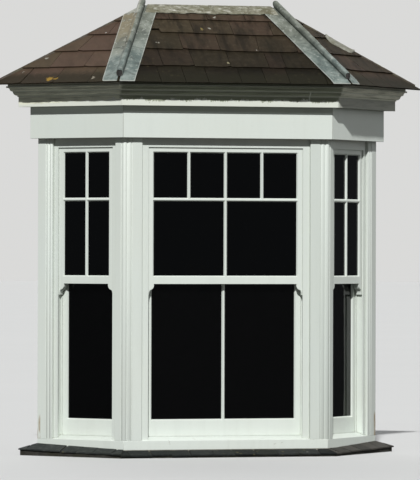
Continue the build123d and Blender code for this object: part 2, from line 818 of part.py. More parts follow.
def flat_normal(plane, side):
    """Normal of a slope seen in the plane across the hip."""
    normal = slope_normal(side)
    return Vector(normal.dot(plane.x_dir), normal.dot(plane.y_dir), 0)


def meet(first, second, height):
    """Point at one height above both slopes, in the plane across the hip."""
    turn = first.X * second.Y - first.Y * second.X
    return Vector(height * (second.Y - first.Y) / turn, height * (first.X - second.X) / turn, 0)


def down_slope(normal, sign):
    """Unit vector down a slope, away from the hip."""
    return Vector(sign * abs(normal.Y), -abs(normal.X), 0)


def hip_outlines():
    """Sections of the lead cap and of its wooden roll."""
    plane = hip_section()
    front, cant = flat_normal(plane, "front"), flat_normal(plane, "right")
    base = SLATE_TAIL + LEAD_GAP
    under, over = meet(front, cant, base), meet(front, cant, base + LEAD)
    to_front, to_cant = down_slope(front, 1) * FRONT_WING, down_slope(cant, -1) * CANT_WING
    wings = make_face(Polyline(
        under + to_cant, under, under + to_front, over + to_front, over, over + to_cant, close=True
    ))
    deep = Vector(0, -FRONT_WING, 0)
    feet = [under + to_front + deep, under + to_cant + deep]
    below = make_face(Polyline(under + to_cant, under, under + to_front, *feet, close=True))
    centre = Pos(under.X, under.Y + ROLL_LIFT, 0)
    outer = centre * Circle(ROLL_RADIUS + LEAD_GAP + LEAD)
    hollow = centre * Circle(ROLL_RADIUS + LEAD_GAP)
    roll = centre * Circle(ROLL_RADIUS)
    cap = (wings + (outer - below)) - hollow
    return plane, cap, roll - below


def run_up_hip(outline, plane, reach, set_back):
    """Run a section up the right hip, between the eave and the wall."""
    run = extrude(plane * outline, 2 * (ROOF_RUN + ROOF_RISE), both=True)
    ends = bay_outline(reach - set_back)
    return run & prism(ends, FRIEZE_TOP, ROOF_TOP + OUTER_REACH)


def hip_lead():
    plane, cap, _ = hip_outlines()
    return run_up_hip(cap, plane, EAVE_REACH, LEAD_EAVE_SET_BACK)


def hip_rolls():
    plane, _, roll = hip_outlines()
    right = run_up_hip(roll, plane, EAVE_REACH, ROLL_END_SET_BACK)
    return Compound([right, mirror(right, Plane.YZ)])


def solid_volume(solid):
    return solid.volume


def top_fillet():
    """Mortar fillet over the top course, against the wall between the rolls."""
    lift = SLATE_TAIL / cos(pitch_of("front"))
    foot = -TOP_FILLET_REACH * tan(FRONT_PITCH)
    points = [
        (-PROJECTION, ROOF_TOP),
        (-PROJECTION, ROOF_TOP + lift + TOP_FILLET_RISE),
        (-PROJECTION + TOP_FILLET_REACH, ROOF_TOP + lift + foot),
        (-PROJECTION + TOP_FILLET_REACH, ROOF_TOP + foot),
    ]
    fillet_run = slope_layer("front", Polyline(*points, close=True), TOP_FILLET_END)
    lead = hip_lead()
    rest = fillet_run - roof_slates("front") - roof_boards("front") - lead - mirror(lead, Plane.YZ)
    return max(rest.solids(), key=solid_volume)


def abutment_fillet():
    """Mortar fillet between the right slope and the wall."""
    normal = slope_normal("right")
    along = normal.cross(Vector(0, 1, 0)).normalized()
    if along.Z > 0:
        along = along * -1
    outward = along.cross(normal).normalized()
    if outward.Y > 0:
        outward = outward * -1
    rise = along.cross(Vector(0, 1, 0)).normalized()
    if rise.Z < 0:
        rise = rise * -1
    lift = (DECK_THICKNESS + SLATE) / cos(pitch_of("right"))
    start = Vector(HIP_TOP_X, 0, ROOF_TOP + lift)
    face = make_face(Polyline(start, start + rise * SIDE_FILLET, start + outward * SIDE_FILLET, close=True))
    run = extrude(face, ROOF_RUN * 3, dir=along)
    run &= prism(bay_outline(EAVE_REACH - LEAD_EAVE_SET_BACK), FRIEZE_TOP, ROOF_TOP + OUTER_REACH)
    run &= roof_sector("right", CANT_WING + LEAD)
    return run - roof_slates("right")


def abutment_fillets():
    right = abutment_fillet()
    return Compound([right, mirror(right, Plane.YZ)])


def main():
    os.makedirs("parts", exist_ok=True)
    export("base_plinth", base_plinth())
    export_sides("slate_ledge", slate_ledge)
    export_sides("sill", sill)
    export("window_board", window_board())
    export_pair("corner_post", corner_post())
    export_pair("wall_post", wall_post())
    export_sides("window_frame", window_frame)
    export_sides("upper_sash", upper_sash)
    export_sides("lower_sash", lower_sash)
    export_sides("glass", glass)
    export("sash_fasteners", sash_fasteners())
    export("ring_beam", ring_beam())
    export("ceiling_board", ceiling_board())
    export_sides("frieze", frieze)
    export_sides("cornice", cornice)
    export("rafters", rafters())
    hip = hip_rafter()
    export("hip_rafters", Compound([hip, mirror(hip, Plane.YZ)]))
    export("wall_ledger", wall_ledger())
    export_sides("roof_boards", roof_boards)
    export_sides("roof_slates", roof_slates)
    export_pair("hip_lead", hip_lead())
    export("hip_rolls", hip_rolls())
    export("top_fillet", top_fillet())
    export("abutment_fillets", abutment_fillets())


main()
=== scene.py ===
"""Looks of a three-sided bay of sash windows under a hipped slate roof.

Metres, in the frame of the construction: X runs along the front, Y into the
house and Z up from the underside of the ledge.
"""
import logging
from dataclasses import dataclass, replace
from enum import Enum
from math import atan, cos, pi, radians, sin, sqrt, tan
from random import Random
from typing import Any, Callable, Iterable, Optional, Union

import bmesh
import bpy
from mathutils import Matrix, Vector, noise


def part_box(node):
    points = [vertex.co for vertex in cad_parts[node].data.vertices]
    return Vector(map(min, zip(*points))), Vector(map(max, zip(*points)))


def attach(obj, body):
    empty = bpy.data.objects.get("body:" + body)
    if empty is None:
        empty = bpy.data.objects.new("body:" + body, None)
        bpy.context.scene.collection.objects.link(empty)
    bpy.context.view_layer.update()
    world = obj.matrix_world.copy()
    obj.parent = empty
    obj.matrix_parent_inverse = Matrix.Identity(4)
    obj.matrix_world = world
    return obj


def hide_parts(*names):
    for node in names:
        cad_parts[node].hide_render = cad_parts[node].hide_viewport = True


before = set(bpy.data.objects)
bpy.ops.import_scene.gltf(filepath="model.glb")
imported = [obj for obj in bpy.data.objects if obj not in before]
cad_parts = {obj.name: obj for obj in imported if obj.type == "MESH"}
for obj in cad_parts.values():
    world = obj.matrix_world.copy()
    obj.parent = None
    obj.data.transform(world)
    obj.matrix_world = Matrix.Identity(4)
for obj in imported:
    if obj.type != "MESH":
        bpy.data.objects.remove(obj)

LOG = logging.getLogger("bay")

Colour = tuple[float, float, float]
Socket = bpy.types.NodeSocket
Feed = Union[Socket, float, tuple]
Plane = tuple[Vector, Vector]

# Node trees


class Graph:
    """A node tree with short calls for the nodes that the finishes use."""

    def __init__(self, tree: bpy.types.NodeTree) -> None:
        """Keep the tree that the calls add to."""
        self.tree = tree

    def add(self, kind: str, **settings: Any) -> bpy.types.Node:
        """Add a shader node.

        Args:
            kind: The node's type, without its ShaderNode prefix.
            settings: Properties to set on the node.

        Returns:
            The new node.
        """
        node = self.tree.nodes.new("ShaderNode" + kind)
        for name, value in settings.items():
            setattr(node, name, value)
        return node

    def feed(self, socket: Socket, value: Feed) -> None:
        """Link an output to a socket, or set the socket's own value.

        Args:
            socket: An input.
            value: The output or the value.
        """
        if isinstance(value, bpy.types.NodeSocket):
            self.tree.links.new(value, socket)
        else:
            socket.default_value = value

    def fed(self, kind: str, values: tuple, **settings: Any) -> bpy.types.Node:
        """Add a shader node and feed its first inputs.

        Args:
            kind: The node's type, without its ShaderNode prefix.
            values: Values of its inputs, in order.
            settings: Properties to set on the node.

        Returns:
            The new node.
        """
        node = self.add(kind, **settings)
        for socket, value in zip(node.inputs, values):
            self.feed(socket, value)
        return node

    def coordinates(self) -> Socket:
        """Object coordinates of the piece."""
        return self.add("TexCoord").outputs["Object"]

    def axes(self, vector: Socket) -> Any:
        """Outputs X, Y and Z of a vector."""
        return self.fed("SeparateXYZ", (vector,)).outputs

    def stretched(self, vector: Socket, scale: tuple) -> Socket:
        """Scale a vector along each axis."""
        still = (0.0, 0.0, 0.0)
        return self.fed("Mapping", (vector, still, still, scale)).outputs["Vector"]

    def noise(self, vector: Socket, scale: Feed, detail: float = 5.0, rough: float = 0.55) -> Socket:
        """Fractal noise from nought to one.

        Args:
            vector: Coordinates to read.
            scale: Size of the noise.
            detail: Octaves.
            rough: Share of each finer octave.

        Returns:
            The noise.
        """
        node = self.add("TexNoise")
        for name, value in dict(Vector=vector, Scale=scale, Detail=detail, Roughness=rough).items():
            self.feed(node.inputs[name], value)
        return node.outputs["Fac"]

    def step(self, value: Socket, low: Feed, high: Feed) -> Socket:
        """Smooth step between two values."""
        return self.fed("MapRange", (value, low, high), interpolation_type="SMOOTHSTEP").outputs["Result"]

    def calc(self, operation: str, *values: Feed) -> Socket:
        """One step of arithmetic."""
        return self.fed("Math", values, operation=operation).outputs[0]

    def times(self, first: Feed, second: Feed) -> Socket:
        """Product of two values."""
        return self.calc("MULTIPLY", first, second)

    def plus(self, first: Feed, second: Feed) -> Socket:
        """Sum of two values."""
        return self.calc("ADD", first, second)

    def scaled(self, value: Socket, factor: float, base: float) -> Socket:
        """A value times a factor, over a base."""
        return self.plus(self.times(value, factor), base)

    def blend(self, share: Feed, first: Feed, second: Feed, mode: str = "MIX") -> Socket:
        """Mix two colours.

        Args:
            share: Share of the second colour.
            first: First colour.
            second: Second colour.
            mode: Blend mode.

        Returns:
            The mixed colour.
        """
        node = self.add("Mix", data_type="RGBA", blend_type=mode)
        for place, value in ((0, share), (6, solid(first)), (7, solid(second))):
            self.feed(node.inputs[place], value)
        return node.outputs[2]

    def layers(self, colour: Feed, *layers: tuple) -> Socket:
        """Cover a colour with one layer after another.

        Args:
            colour: The colour below.
            layers: Each a paint, its mask and any shares that thin the mask.

        Returns:
            The covered colour.
        """
        for paint, mask, *thinned in layers:
            for share in thinned:
                mask = self.times(mask, share)
            colour = self.blend(mask, colour, paint)
        return colour

    def bump(self, height: Socket, strength: float, distance: float, below: Feed = None) -> Socket:
        """Relief from a height.

        Args:
            height: Height from nought to one.
            strength: Share of the relief.
            distance: Depth in metres.
            below: Normal from relief that lies under this.

        Returns:
            The bumped normal.
        """
        node = self.add("Bump")
        self.feed(node.inputs["Height"], height)
        node.inputs["Strength"].default_value = strength
        node.inputs["Distance"].default_value = distance
        if below is not None:
            self.feed(node.inputs["Normal"], below)
        return node.outputs["Normal"]

    def use(self, group: bpy.types.NodeTree, **values: Feed) -> Socket:
        """Place a shared effect and give its inputs values.

        Args:
            group: The effect.
            values: Its inputs by name.

        Returns:
            The effect's mask.
        """
        node = self.add("Group")
        node.node_tree = group
        for name, value in values.items():
            self.feed(node.inputs[name], value)
        return node.outputs[0]

    def shaded_and_grimed(self, reach: float, amount: float, scale: float = 9.0) -> Socket:
        """Mask of painted shade and soiling in corners within a reach."""
        return self.use(EFFECTS.shade_and_grime, Reach=reach, Amount=amount, Scale=scale)

    def worn(self, radius: float, amount: float) -> Socket:
        """Mask of edges rubbed to a radius."""
        return self.use(EFFECTS.wear, Radius=radius, Amount=amount)

    def patches(self, scale: float, low: float, high: float) -> Socket:
        """Mask of blotches between two levels."""
        return self.use(EFFECTS.blotches, Scale=scale, Low=low, High=high)

    def surface(self, colour: Feed, rough: Feed, **more: Feed) -> None:
        """Feed the material's shader.

        Args:
            colour: Its base colour.
            rough: Its roughness.
            more: Other inputs by name, with _ for a space.
        """
        shader = self.tree.nodes["Principled BSDF"]
        for name, value in {"Base_Color": colour, "Roughness": rough, **more}.items():
            self.feed(shader.inputs[name.replace("_", " ")], value)


def solid(colour: Feed) -> Feed:
    """Add an alpha of one to a colour of three values."""
    return (*colour, 1.0) if isinstance(colour, tuple) and len(colour) == 3 else colour


# Effects that several finishes share


class Effects:
    """Node groups for effects that several finishes share, each made once."""

    def __init__(self) -> None:
        """Build every group."""
        # Ambient occlusion mask: painted shade in corners, partly soiling.
        self.shade_and_grime = self.make("Painted shade and soiling in corners", shade_and_grime_mask, Reach=0.03, Scale=9.0, Amount=1.0)
        self.wear = self.make("Wear on edges", wear_mask, Radius=0.002, Amount=1.0)
        self.runs = self.make("Rain runs", runs_mask, Amount=1.0)
        self.blotches = self.make("Blotches", blotch_mask, Scale=3.0, Low=0.45, High=0.65)
        self.specks = self.make("Specks", speck_mask, Scale=40.0, Size=0.15, Amount=1.0)

    @staticmethod
    def make(name: str, build: Callable, **inputs: float) -> bpy.types.NodeTree:
        """Make one group with float inputs and one mask output.

        Args:
            name: Name of the group.
            build: Function that draws its inside and returns the mask.
            inputs: Names and values of its inputs.

        Returns:
            The group.
        """
        tree = bpy.data.node_groups.new(name, "ShaderNodeTree")
        for label, value in inputs.items():
            socket = tree.interface.new_socket(name=label, in_out="INPUT", socket_type="NodeSocketFloat")
            socket.default_value = value
        tree.interface.new_socket(name="Mask", in_out="OUTPUT", socket_type="NodeSocketFloat")
        given = tree.nodes.new("NodeGroupInput")
        result = tree.nodes.new("NodeGroupOutput")
        graph = Graph(tree)
        graph.feed(result.inputs["Mask"], build(graph, given.outputs))
        return tree


def shade_and_grime_mask(graph: Graph, given: Any) -> Socket:
    """Painted shade and soiling where surfaces close in on each other, found by ambient occlusion and broken
    by noise.

    Args:
        graph: The effect's inside.
        given: Its inputs.

    Returns:
        The mask.
    """
    shade = graph.add("AmbientOcclusion", samples=6)
    graph.feed(shade.inputs["Distance"], given["Reach"])
    closed = graph.calc("SUBTRACT", 1.0, shade.outputs["AO"])
    broken = graph.noise(graph.coordinates(), given["Scale"], 6.0)
    mask = graph.step(graph.times(closed, graph.plus(broken, 0.5)), 0.12, 0.85)
    return graph.times(mask, given["Amount"])


def wear_mask(graph: Graph, given: Any) -> Socket:
    """Rubbed edges, found where a rounded normal leaves the face's own.

    Args:
        graph: The effect's inside.
        given: Its inputs.

    Returns:
        The mask.
    """
    rounded = graph.add("Bevel", samples=4)
    graph.feed(rounded.inputs["Radius"], given["Radius"])
    face = graph.add("NewGeometry").outputs["Normal"]
    turn = graph.fed("VectorMath", (rounded.outputs["Normal"], face), operation="DOT_PRODUCT")
    edge = graph.step(graph.calc("SUBTRACT", 1.0, turn.outputs["Value"]), 0.02, 0.2)
    broken = graph.step(graph.noise(graph.coordinates(), 30.0), 0.35, 0.62)
    return graph.times(graph.times(edge, broken), given["Amount"])


def runs_mask(graph: Graph, given: Any) -> Socket:
    """Streaks that rain leaves down an upright face."""
    streaks = graph.noise(graph.stretched(graph.coordinates(), (1.0, 1.0, 0.06)), 14.0, 7.0, 0.62)
    return graph.times(graph.step(streaks, 0.45, 0.72), given["Amount"])


def blotch_mask(graph: Graph, given: Any) -> Socket:
    """Patches between two levels of noise."""
    patches = graph.noise(graph.coordinates(), given["Scale"], 7.0, 0.6)
    return graph.step(patches, given["Low"], given["High"])


def speck_mask(graph: Graph, given: Any) -> Socket:
    """Small round spots, such as lichen or droppings.

    Args:
        graph: The effect's inside.
        given: Its inputs.

    Returns:
        The mask.
    """
    wobble = graph.times(graph.noise(graph.coordinates(), 60.0, 3.0), 0.01)
    shifted = graph.fed("VectorMath", (graph.coordinates(), wobble), operation="ADD")
    cells = graph.add("TexVoronoi")
    graph.feed(cells.inputs["Vector"], shifted.outputs["Vector"])
    graph.feed(cells.inputs["Scale"], given["Scale"])
    spot = graph.step(cells.outputs["Distance"], given["Size"], graph.times(given["Size"], 0.6))
    rare = graph.step(graph.noise(graph.coordinates(), 2.3, 3.0), 0.5, 0.62)
    return graph.times(graph.times(spot, rare), given["Amount"])


EFFECTS = Effects()

# Finishes


class Brush(Enum):
    """Way that brush strokes or grain run: factors along X, Y and Z."""

    UPRIGHT = (70.0, 70.0, 2.5)
    LEVEL = (4.0, 4.0, 90.0)
    INWARD = (80.0, 3.0, 60.0)


@dataclass(frozen=True)
class Finish:
    """A finish with its own procedural material."""

    name: str

    def material(self) -> bpy.types.Material:
        """Make the finish's material, or find it after the first call.

        Returns:
            The material.
        """
        found = bpy.data.materials.get(self.name)
        if found is not None:
            return found
        made = bpy.data.materials.new(self.name)
        made.use_nodes = True
        self.draw(Graph(made.node_tree))
        return made

    def draw(self, graph: Graph) -> None:
        """Draw the finish's nodes and feed its shader.

        Args:
            graph: The material's tree.
        """
        raise NotImplementedError


@dataclass(frozen=True)
class OldPaint(Finish):
    """Oil paint on joinery, brushed, faintly soiled, darkened in its corners as painted shade and chalked at
    the edges.
    """

    brush: Brush = Brush.UPRIGHT
    clean: Colour = (0.712, 0.768, 0.722)
    warm: Colour = (0.705, 0.745, 0.675)
    dirt_and_shade: Colour = (0.20, 0.20, 0.15)
    bare: Colour = (0.30, 0.25, 0.18)
    chalk: Colour = (0.84, 0.85, 0.82)
    rust: Colour = (0.30, 0.20, 0.09)
    shade_and_grime: float = 0.4
    runs: float = 0.05
    flakes: float = 0.0
    seam: float = 0.0
    seam_half: float = 0.0018
    painted_shadow_level: float = 2.392
    rust_top: float = 0.0
    rust_across: float = 1.214

    def draw(self, graph: Graph) -> None:
        """Layer drift, rain runs, soiling, painted shade in corners, flakes and rust over the paint.

        Args:
            graph: The material's tree.
        """
        place = graph.coordinates()
        strokes = graph.noise(graph.stretched(place, self.brush.value), 1.0, 6.0)
        # Darkening in corners found by ambient occlusion: painted shade, partly soiling.
        shade_and_grime = graph.shaded_and_grimed(0.018, self.shade_and_grime)
        flaked = graph.times(graph.patches(19.0, 0.665, 0.675), self.flakes)
        colour = graph.layers(
            graph.blend(graph.noise(place, 2.1, 4.0), self.clean, self.warm),
            (self.dirt_and_shade, graph.use(EFFECTS.runs, Amount=self.runs)),
            (self.dirt_and_shade, graph.patches(55.0, 0.56, 0.75), 0.05),
            (self.dirt_and_shade, shade_and_grime),
            *(self.seams_and_painted_shadow(graph, place) if self.seam > 0.0 else ()),
            (self.chalk, graph.worn(0.002, 0.35)),
            (graph.blend(strokes, self.bare, self.dirt_and_shade), flaked),
            *(self.rusted(graph, place) if self.rust_top > 0.0 else ()),
        )
        rough = graph.plus(graph.times(strokes, 0.22), graph.times(shade_and_grime, 0.3))
        chips = graph.calc("SUBTRACT", 1.0, flaked)
        relief = graph.bump(chips, 0.6, 0.0006, graph.bump(strokes, 0.35, 0.0005))
        graph.surface(colour, graph.plus(rough, 0.33), Normal=relief)

    def seams_and_painted_shadow(self, graph: Graph, place: Socket) -> tuple:
        """Draw the dark line of a mitre joint and a painted shadow under the soffit, on the front only.

        Args:
            graph: The material's tree.
            place: Object coordinates.

        Returns:
            The layers of both.
        """
        axes = graph.axes(place)
        out = graph.calc("ABSOLUTE", axes["X"])
        line = graph.calc("COMPARE", out, self.seam, self.seam_half)
        # Painted shadow of the corona: the front of the frieze darkened above a level.
        high = graph.step(axes["Z"], self.painted_shadow_level, self.painted_shadow_level + 0.01)
        return (self.dirt_and_shade, line, 0.5), (self.dirt_and_shade, high, graph.calc("LESS_THAN", out, self.seam), 0.45)

    def rusted(self, graph: Graph, place: Socket) -> tuple:
        """Draw a brown smear on the outer edge, under a level.

        Args:
            graph: The material's tree.
            place: Object coordinates.

        Returns:
            The smear's layer, in a row of one.
        """
        axes = graph.axes(place)
        outer = graph.step(graph.calc("ABSOLUTE", axes["X"]), self.rust_across, self.rust_across + 0.006)
        low = graph.step(axes["Z"], self.rust_top, self.rust_top - 0.05)
        streak = graph.step(graph.noise(graph.stretched(place, (60.0, 60.0, 9.0)), 1.0), 0.36, 0.58)
        return ((self.rust, outer, low, streak, 0.75),)


@dataclass(frozen=True)
class WeatheredPaint(Finish):
    """Cornice paint soiled olive, in lit and shaded copies by side, bare white where drips wash it and where
    painted sunlight falls below the eave's shadow.
    """

    washed: Colour = (0.76, 0.785, 0.70)
    front_grime_and_shade: Colour = (0.33, 0.355, 0.255)
    sunny_grime: Colour = (0.86, 0.87, 0.70)
    shaded_grime: Colour = (0.84, 0.835, 0.69)
    shaded_corona: Colour = (0.26, 0.275, 0.255)
    dark: Colour = (0.10, 0.105, 0.075)
    faded: Colour = (0.48, 0.50, 0.41)
    lit: Colour = (0.70, 0.72, 0.61)
    rubbed: Colour = (0.56, 0.58, 0.50)
    lit_lines: tuple = ((2.5725, 0.004), (2.538, 0.004), (2.507, 0.005))
    strip_low: float = 2.433
    strip_height: float = 0.044
    corner: float = 0.78
    wall: float = 1.38
    drip: float = 0.566
    drip_half: float = 0.0045
    drip_top: float = 2.545
    corona_top: float = 2.503

    def draw(self, graph: Graph) -> None:
        """Layer soiling in lit and shaded copies by side, painted shade in the hollows, painted highlight
        lines, rubbed edges and the washed and sunlit strip.

        Args:
            graph: The material's tree.
        """
        place = graph.coordinates()
        axes = graph.axes(place)
        right = graph.step(axes["X"], self.corner, self.corner + 0.02)
        left = graph.step(axes["X"], -self.corner, -self.corner - 0.02)
        patches = graph.noise(graph.stretched(place, (1.0, 1.0, 14.0)), 5.0, 8.0, 0.6)
        bold = graph.scaled(left, 0.25, 0.7)
        colour = graph.layers(
            # One soiled paint in three copies: the front painted dark as shade, the cants painted light, the
            # left one as it faces the sun.
            self.front_grime_and_shade,
            (self.sunny_grime, left),
            (self.shaded_grime, right),
            (self.dark, graph.step(patches, 0.40, 0.72), 0.5),
            (self.faded, graph.patches(22.0, 0.58, 0.72), 0.15),
            # Darkening in the hollows of the moulding: painted shade.
            (self.dark, graph.shaded_and_grimed(0.03, 1.0), 0.75),
            # Light lines along the moulding, stronger on the left cant that faces the sun: painted
            # highlights.
            *((self.lit, graph.calc("COMPARE", axes["Z"], *line), bold) for line in self.lit_lines),
            # Rubbed edges, partly wear and partly painted highlight along the moulding's edges.
            (self.rubbed, graph.worn(0.004, 0.7)),
            (self.shaded_corona, right, graph.calc("LESS_THAN", axes["Z"], self.corona_top), 0.7),
            # The strip: partly washed paint, partly painted sunlight below the eave's shadow.
            (self.washed, self.strip(graph, place), graph.calc("SUBTRACT", 1.0, right)),
        )
        crust = graph.bump(graph.noise(place, 130.0, 6.0, 0.7), 0.5, 0.0012)
        graph.surface(colour, graph.scaled(patches, 0.3, 0.6), Normal=crust)

    def strip(self, graph: Graph, place: Socket) -> Socket:
        """Ragged white strip along the foot of the corona, partly washed paint and partly painted sunlight
        below the eave's shadow, with one drip line.

        Args:
            graph: The material's tree.
            place: Object coordinates.

        Returns:
            The strip's mask.
        """
        axes = graph.axes(place)
        ragged = graph.noise(graph.stretched(place, (1.0, 1.0, 0.3)), 20.0, 9.0, 0.8)
        reach = graph.times(graph.scaled(ragged, 3.2, -0.7), self.strip_height)
        toward_wall = graph.scaled(graph.step(axes["X"], -self.wall, -self.corner), 0.65, 0.4)
        top = graph.plus(graph.times(reach, toward_wall), self.strip_low)
        drip = graph.calc("COMPARE", axes["X"], self.drip, self.drip_half)
        drip = graph.times(drip, graph.step(axes["Z"], self.drip_top, self.drip_top - 0.01))
        inside = graph.calc("MAXIMUM", graph.calc("GREATER_THAN", top, axes["Z"]), graph.times(drip, 0.8))
        holes = graph.step(graph.noise(place, 48.0, 6.0), 0.74, 0.70)
        return graph.times(graph.times(inside, holes), 0.92)


@dataclass(frozen=True)
class RivenSlate(Finish):
    """Riven slate, its tone set slate by slate, with lichen and droppings."""

    dark: Colour = (0.008, 0.0065, 0.004)
    brown: Colour = (0.060, 0.043, 0.029)
    sunny_dark: Colour = (0.055, 0.038, 0.027)
    sunny_brown: Colour = (0.115, 0.080, 0.058)
    moss: Colour = (0.026, 0.024, 0.013)
    lichen: Colour = (0.34, 0.30, 0.13)
    dropping: Colour = (0.55, 0.54, 0.50)
    pale: Colour = (0.115, 0.093, 0.064)
    eave_dirt: Colour = (0.016, 0.015, 0.008)
    crevice: Colour = (0.010, 0.009, 0.006)
    olive_tint: Colour = (0.90, 0.96, 0.74)
    purple_tint: Colour = (1.14, 1.0, 0.98)
    tinting: float = 0.7
    pale_amount: float = 0.36
    moss_amount: float = 0.25
    lichen_amount: float = 0.05
    dropping_amount: float = 0.9
    rivens: tuple = (5.0, 5.0, 26.0)
    stains: tuple = (17.0, 5.0, 3.0)
    stain_amount: float = 0.68
    sunny_wash: float = 0.48
    eave_level: float = 2.655
    mark_wave: float = 0.05
    marks: tuple = ()

    def draw(self, graph: Graph) -> None:
        """Layer slate tone, with a painted lit copy for slates marked sunny, cleavage, stains, lichen, moss,
        droppings and painted shade in crevices.

        Args:
            graph: The material's tree.
        """
        place = graph.coordinates()
        tone = graph.add("Attribute", attribute_name="tone").outputs["Color"]
        brown, sunny, lively = graph.fed("SeparateColor", (tone,)).outputs[:3]
        cleft = graph.noise(graph.stretched(place, self.rivens), 1.0, 8.0, 0.6)
        grain = graph.noise(place, 30.0, 8.0, 0.66)
        shaded = graph.blend(brown, self.dark, self.brown)
        # Slates marked sunny take lighter colours: painted sunlight.
        colour = graph.blend(sunny, shaded, graph.blend(brown, self.sunny_dark, self.sunny_brown))
        tint = graph.blend(graph.step(lively, 0.25, 0.95), self.olive_tint, self.purple_tint)
        stain = graph.step(graph.noise(graph.stretched(place, self.stains), 1.0, 7.0, 0.6), 0.44, 0.68)
        level = graph.calc("SUBTRACT", graph.axes(place)["Z"], graph.times(grain, 0.06))
        colour = graph.layers(
            graph.blend(self.tinting, colour, tint, "MULTIPLY"),
            (self.pale, graph.step(grain, 0.46, 0.72), self.pale_amount, graph.plus(brown, 0.25)),
            (self.pale, graph.step(cleft, 0.55, 0.8), 0.15),
            (self.dark, stain, graph.scaled(sunny, -self.sunny_wash, self.stain_amount)),
            (self.moss, graph.patches(5.0, 0.50, 0.68), self.moss_amount),
            (self.eave_dirt, graph.step(level, self.eave_level, self.eave_level - 0.05), 0.75),
            *self.spots(graph, place, lively),
            # Darkening in crevices: painted shade.
            (self.crevice, graph.shaded_and_grimed(0.014, 0.5)),
        )
        relief = graph.bump(grain, 0.5, 0.0011, graph.bump(cleft, 0.6, 0.0014))
        graph.surface(colour, graph.scaled(grain, 0.3, 0.55), Normal=relief, Specular_IOR_Level=0.12)

    def spots(self, graph: Graph, place: Socket, lively: Socket) -> list[tuple]:
        """Draw lichen, droppings and the marks that stand in known places.

        Args:
            graph: The material's tree.
            place: Object coordinates.
            lively: Share of lichen on the slate.

        Returns:
            Their layers.
        """
        lichen = graph.use(EFFECTS.specks, Scale=19.0, Size=0.24, Amount=self.lichen_amount)
        white = graph.use(EFFECTS.specks, Scale=7.0, Size=0.06, Amount=self.dropping_amount)
        wave = graph.add("TexNoise")
        graph.feed(wave.inputs["Vector"], place)
        graph.feed(wave.inputs["Scale"], 34.0)
        wide, half = (self.mark_wave,) * 3, (self.mark_wave / 2,) * 3
        ragged = graph.fed("VectorMath", (wave.outputs["Color"], wide, place), operation="MULTIPLY_ADD")
        shifted = graph.fed("VectorMath", (ragged.outputs["Vector"], half), operation="SUBTRACT")
        layers = [(self.lichen, lichen, lively), (self.dropping, white)]
        for centre, radius, paint in self.marks:
            gap = graph.fed("VectorMath", (shifted.outputs["Vector"], centre), operation="DISTANCE")
            layers.append((paint, graph.step(gap.outputs["Value"], radius, radius * 0.5), 0.8))
        return layers


@dataclass(frozen=True)
class OldLead(Finish):
    """Dressed sheet lead with a pale blue-grey patina and white runs."""

    patina: Colour = (0.112, 0.146, 0.134)
    light: Colour = (0.26, 0.305, 0.28)
    dark: Colour = (0.060, 0.070, 0.062)
    bloom: Colour = (0.46, 0.48, 0.43)
    stained: Colour = (0.225, 0.172, 0.085)
    stain_foot: float = 2.84
    stain_top: float = 3.14
    limed_level: float = 3.215

    def draw(self, graph: Graph) -> None:
        """Layer patina, bloom, painted shade on the roll's steep flanks and in hollows, browner up the slope.

        Args:
            graph: The material's tree.
        """
        place = graph.coordinates()
        axes = graph.axes(place)
        faces = graph.axes(graph.add("NewGeometry").outputs["Normal"])
        cloud = graph.noise(place, 11.0, 8.0, 0.65)
        height = graph.plus(axes["Z"], graph.times(cloud, 0.25))
        sunny = graph.times(graph.step(faces["X"], -0.2, -0.4), graph.step(axes["X"], 0.0, -0.1))
        high = graph.step(height, self.stain_foot, self.stain_top)
        rim = graph.step(graph.add("Attribute", attribute_name="rim").outputs["Fac"], 0.60, 0.90)
        colour = graph.layers(
            self.patina,
            (self.light, graph.step(cloud, 0.38, 0.64)),
            (self.stained, high, graph.scaled(sunny, 0.5, 0.25)),
            (self.bloom, sunny, graph.step(height, self.limed_level, self.limed_level + 0.03), 0.7),
            # Steep faces darker: painted shade on the flanks of the roll.
            (self.dark, graph.step(faces["Z"], 0.72, 0.40), 0.45),
            (self.dark, graph.patches(17.0, 0.52, 0.72), 0.6),
            (self.bloom, graph.patches(36.0, 0.56, 0.66), 0.5),
            (self.light, graph.worn(0.003, 0.7)),
            # Darkening in hollows: painted shade, as of the roll's shadow on the wing.
            (self.dark, graph.shaded_and_grimed(0.045, 0.9)),
            (self.bloom, rim, graph.step(cloud, 0.25, 0.5), 0.75),
        )
        relief = graph.bump(graph.noise(place, 26.0, 4.0), 0.5, 0.003)
        relief = graph.bump(graph.noise(place, 160.0, 4.0), 0.25, 0.0005, relief)
        graph.surface(colour, graph.scaled(cloud, 0.3, 0.42), Normal=relief, Metallic=0.15)


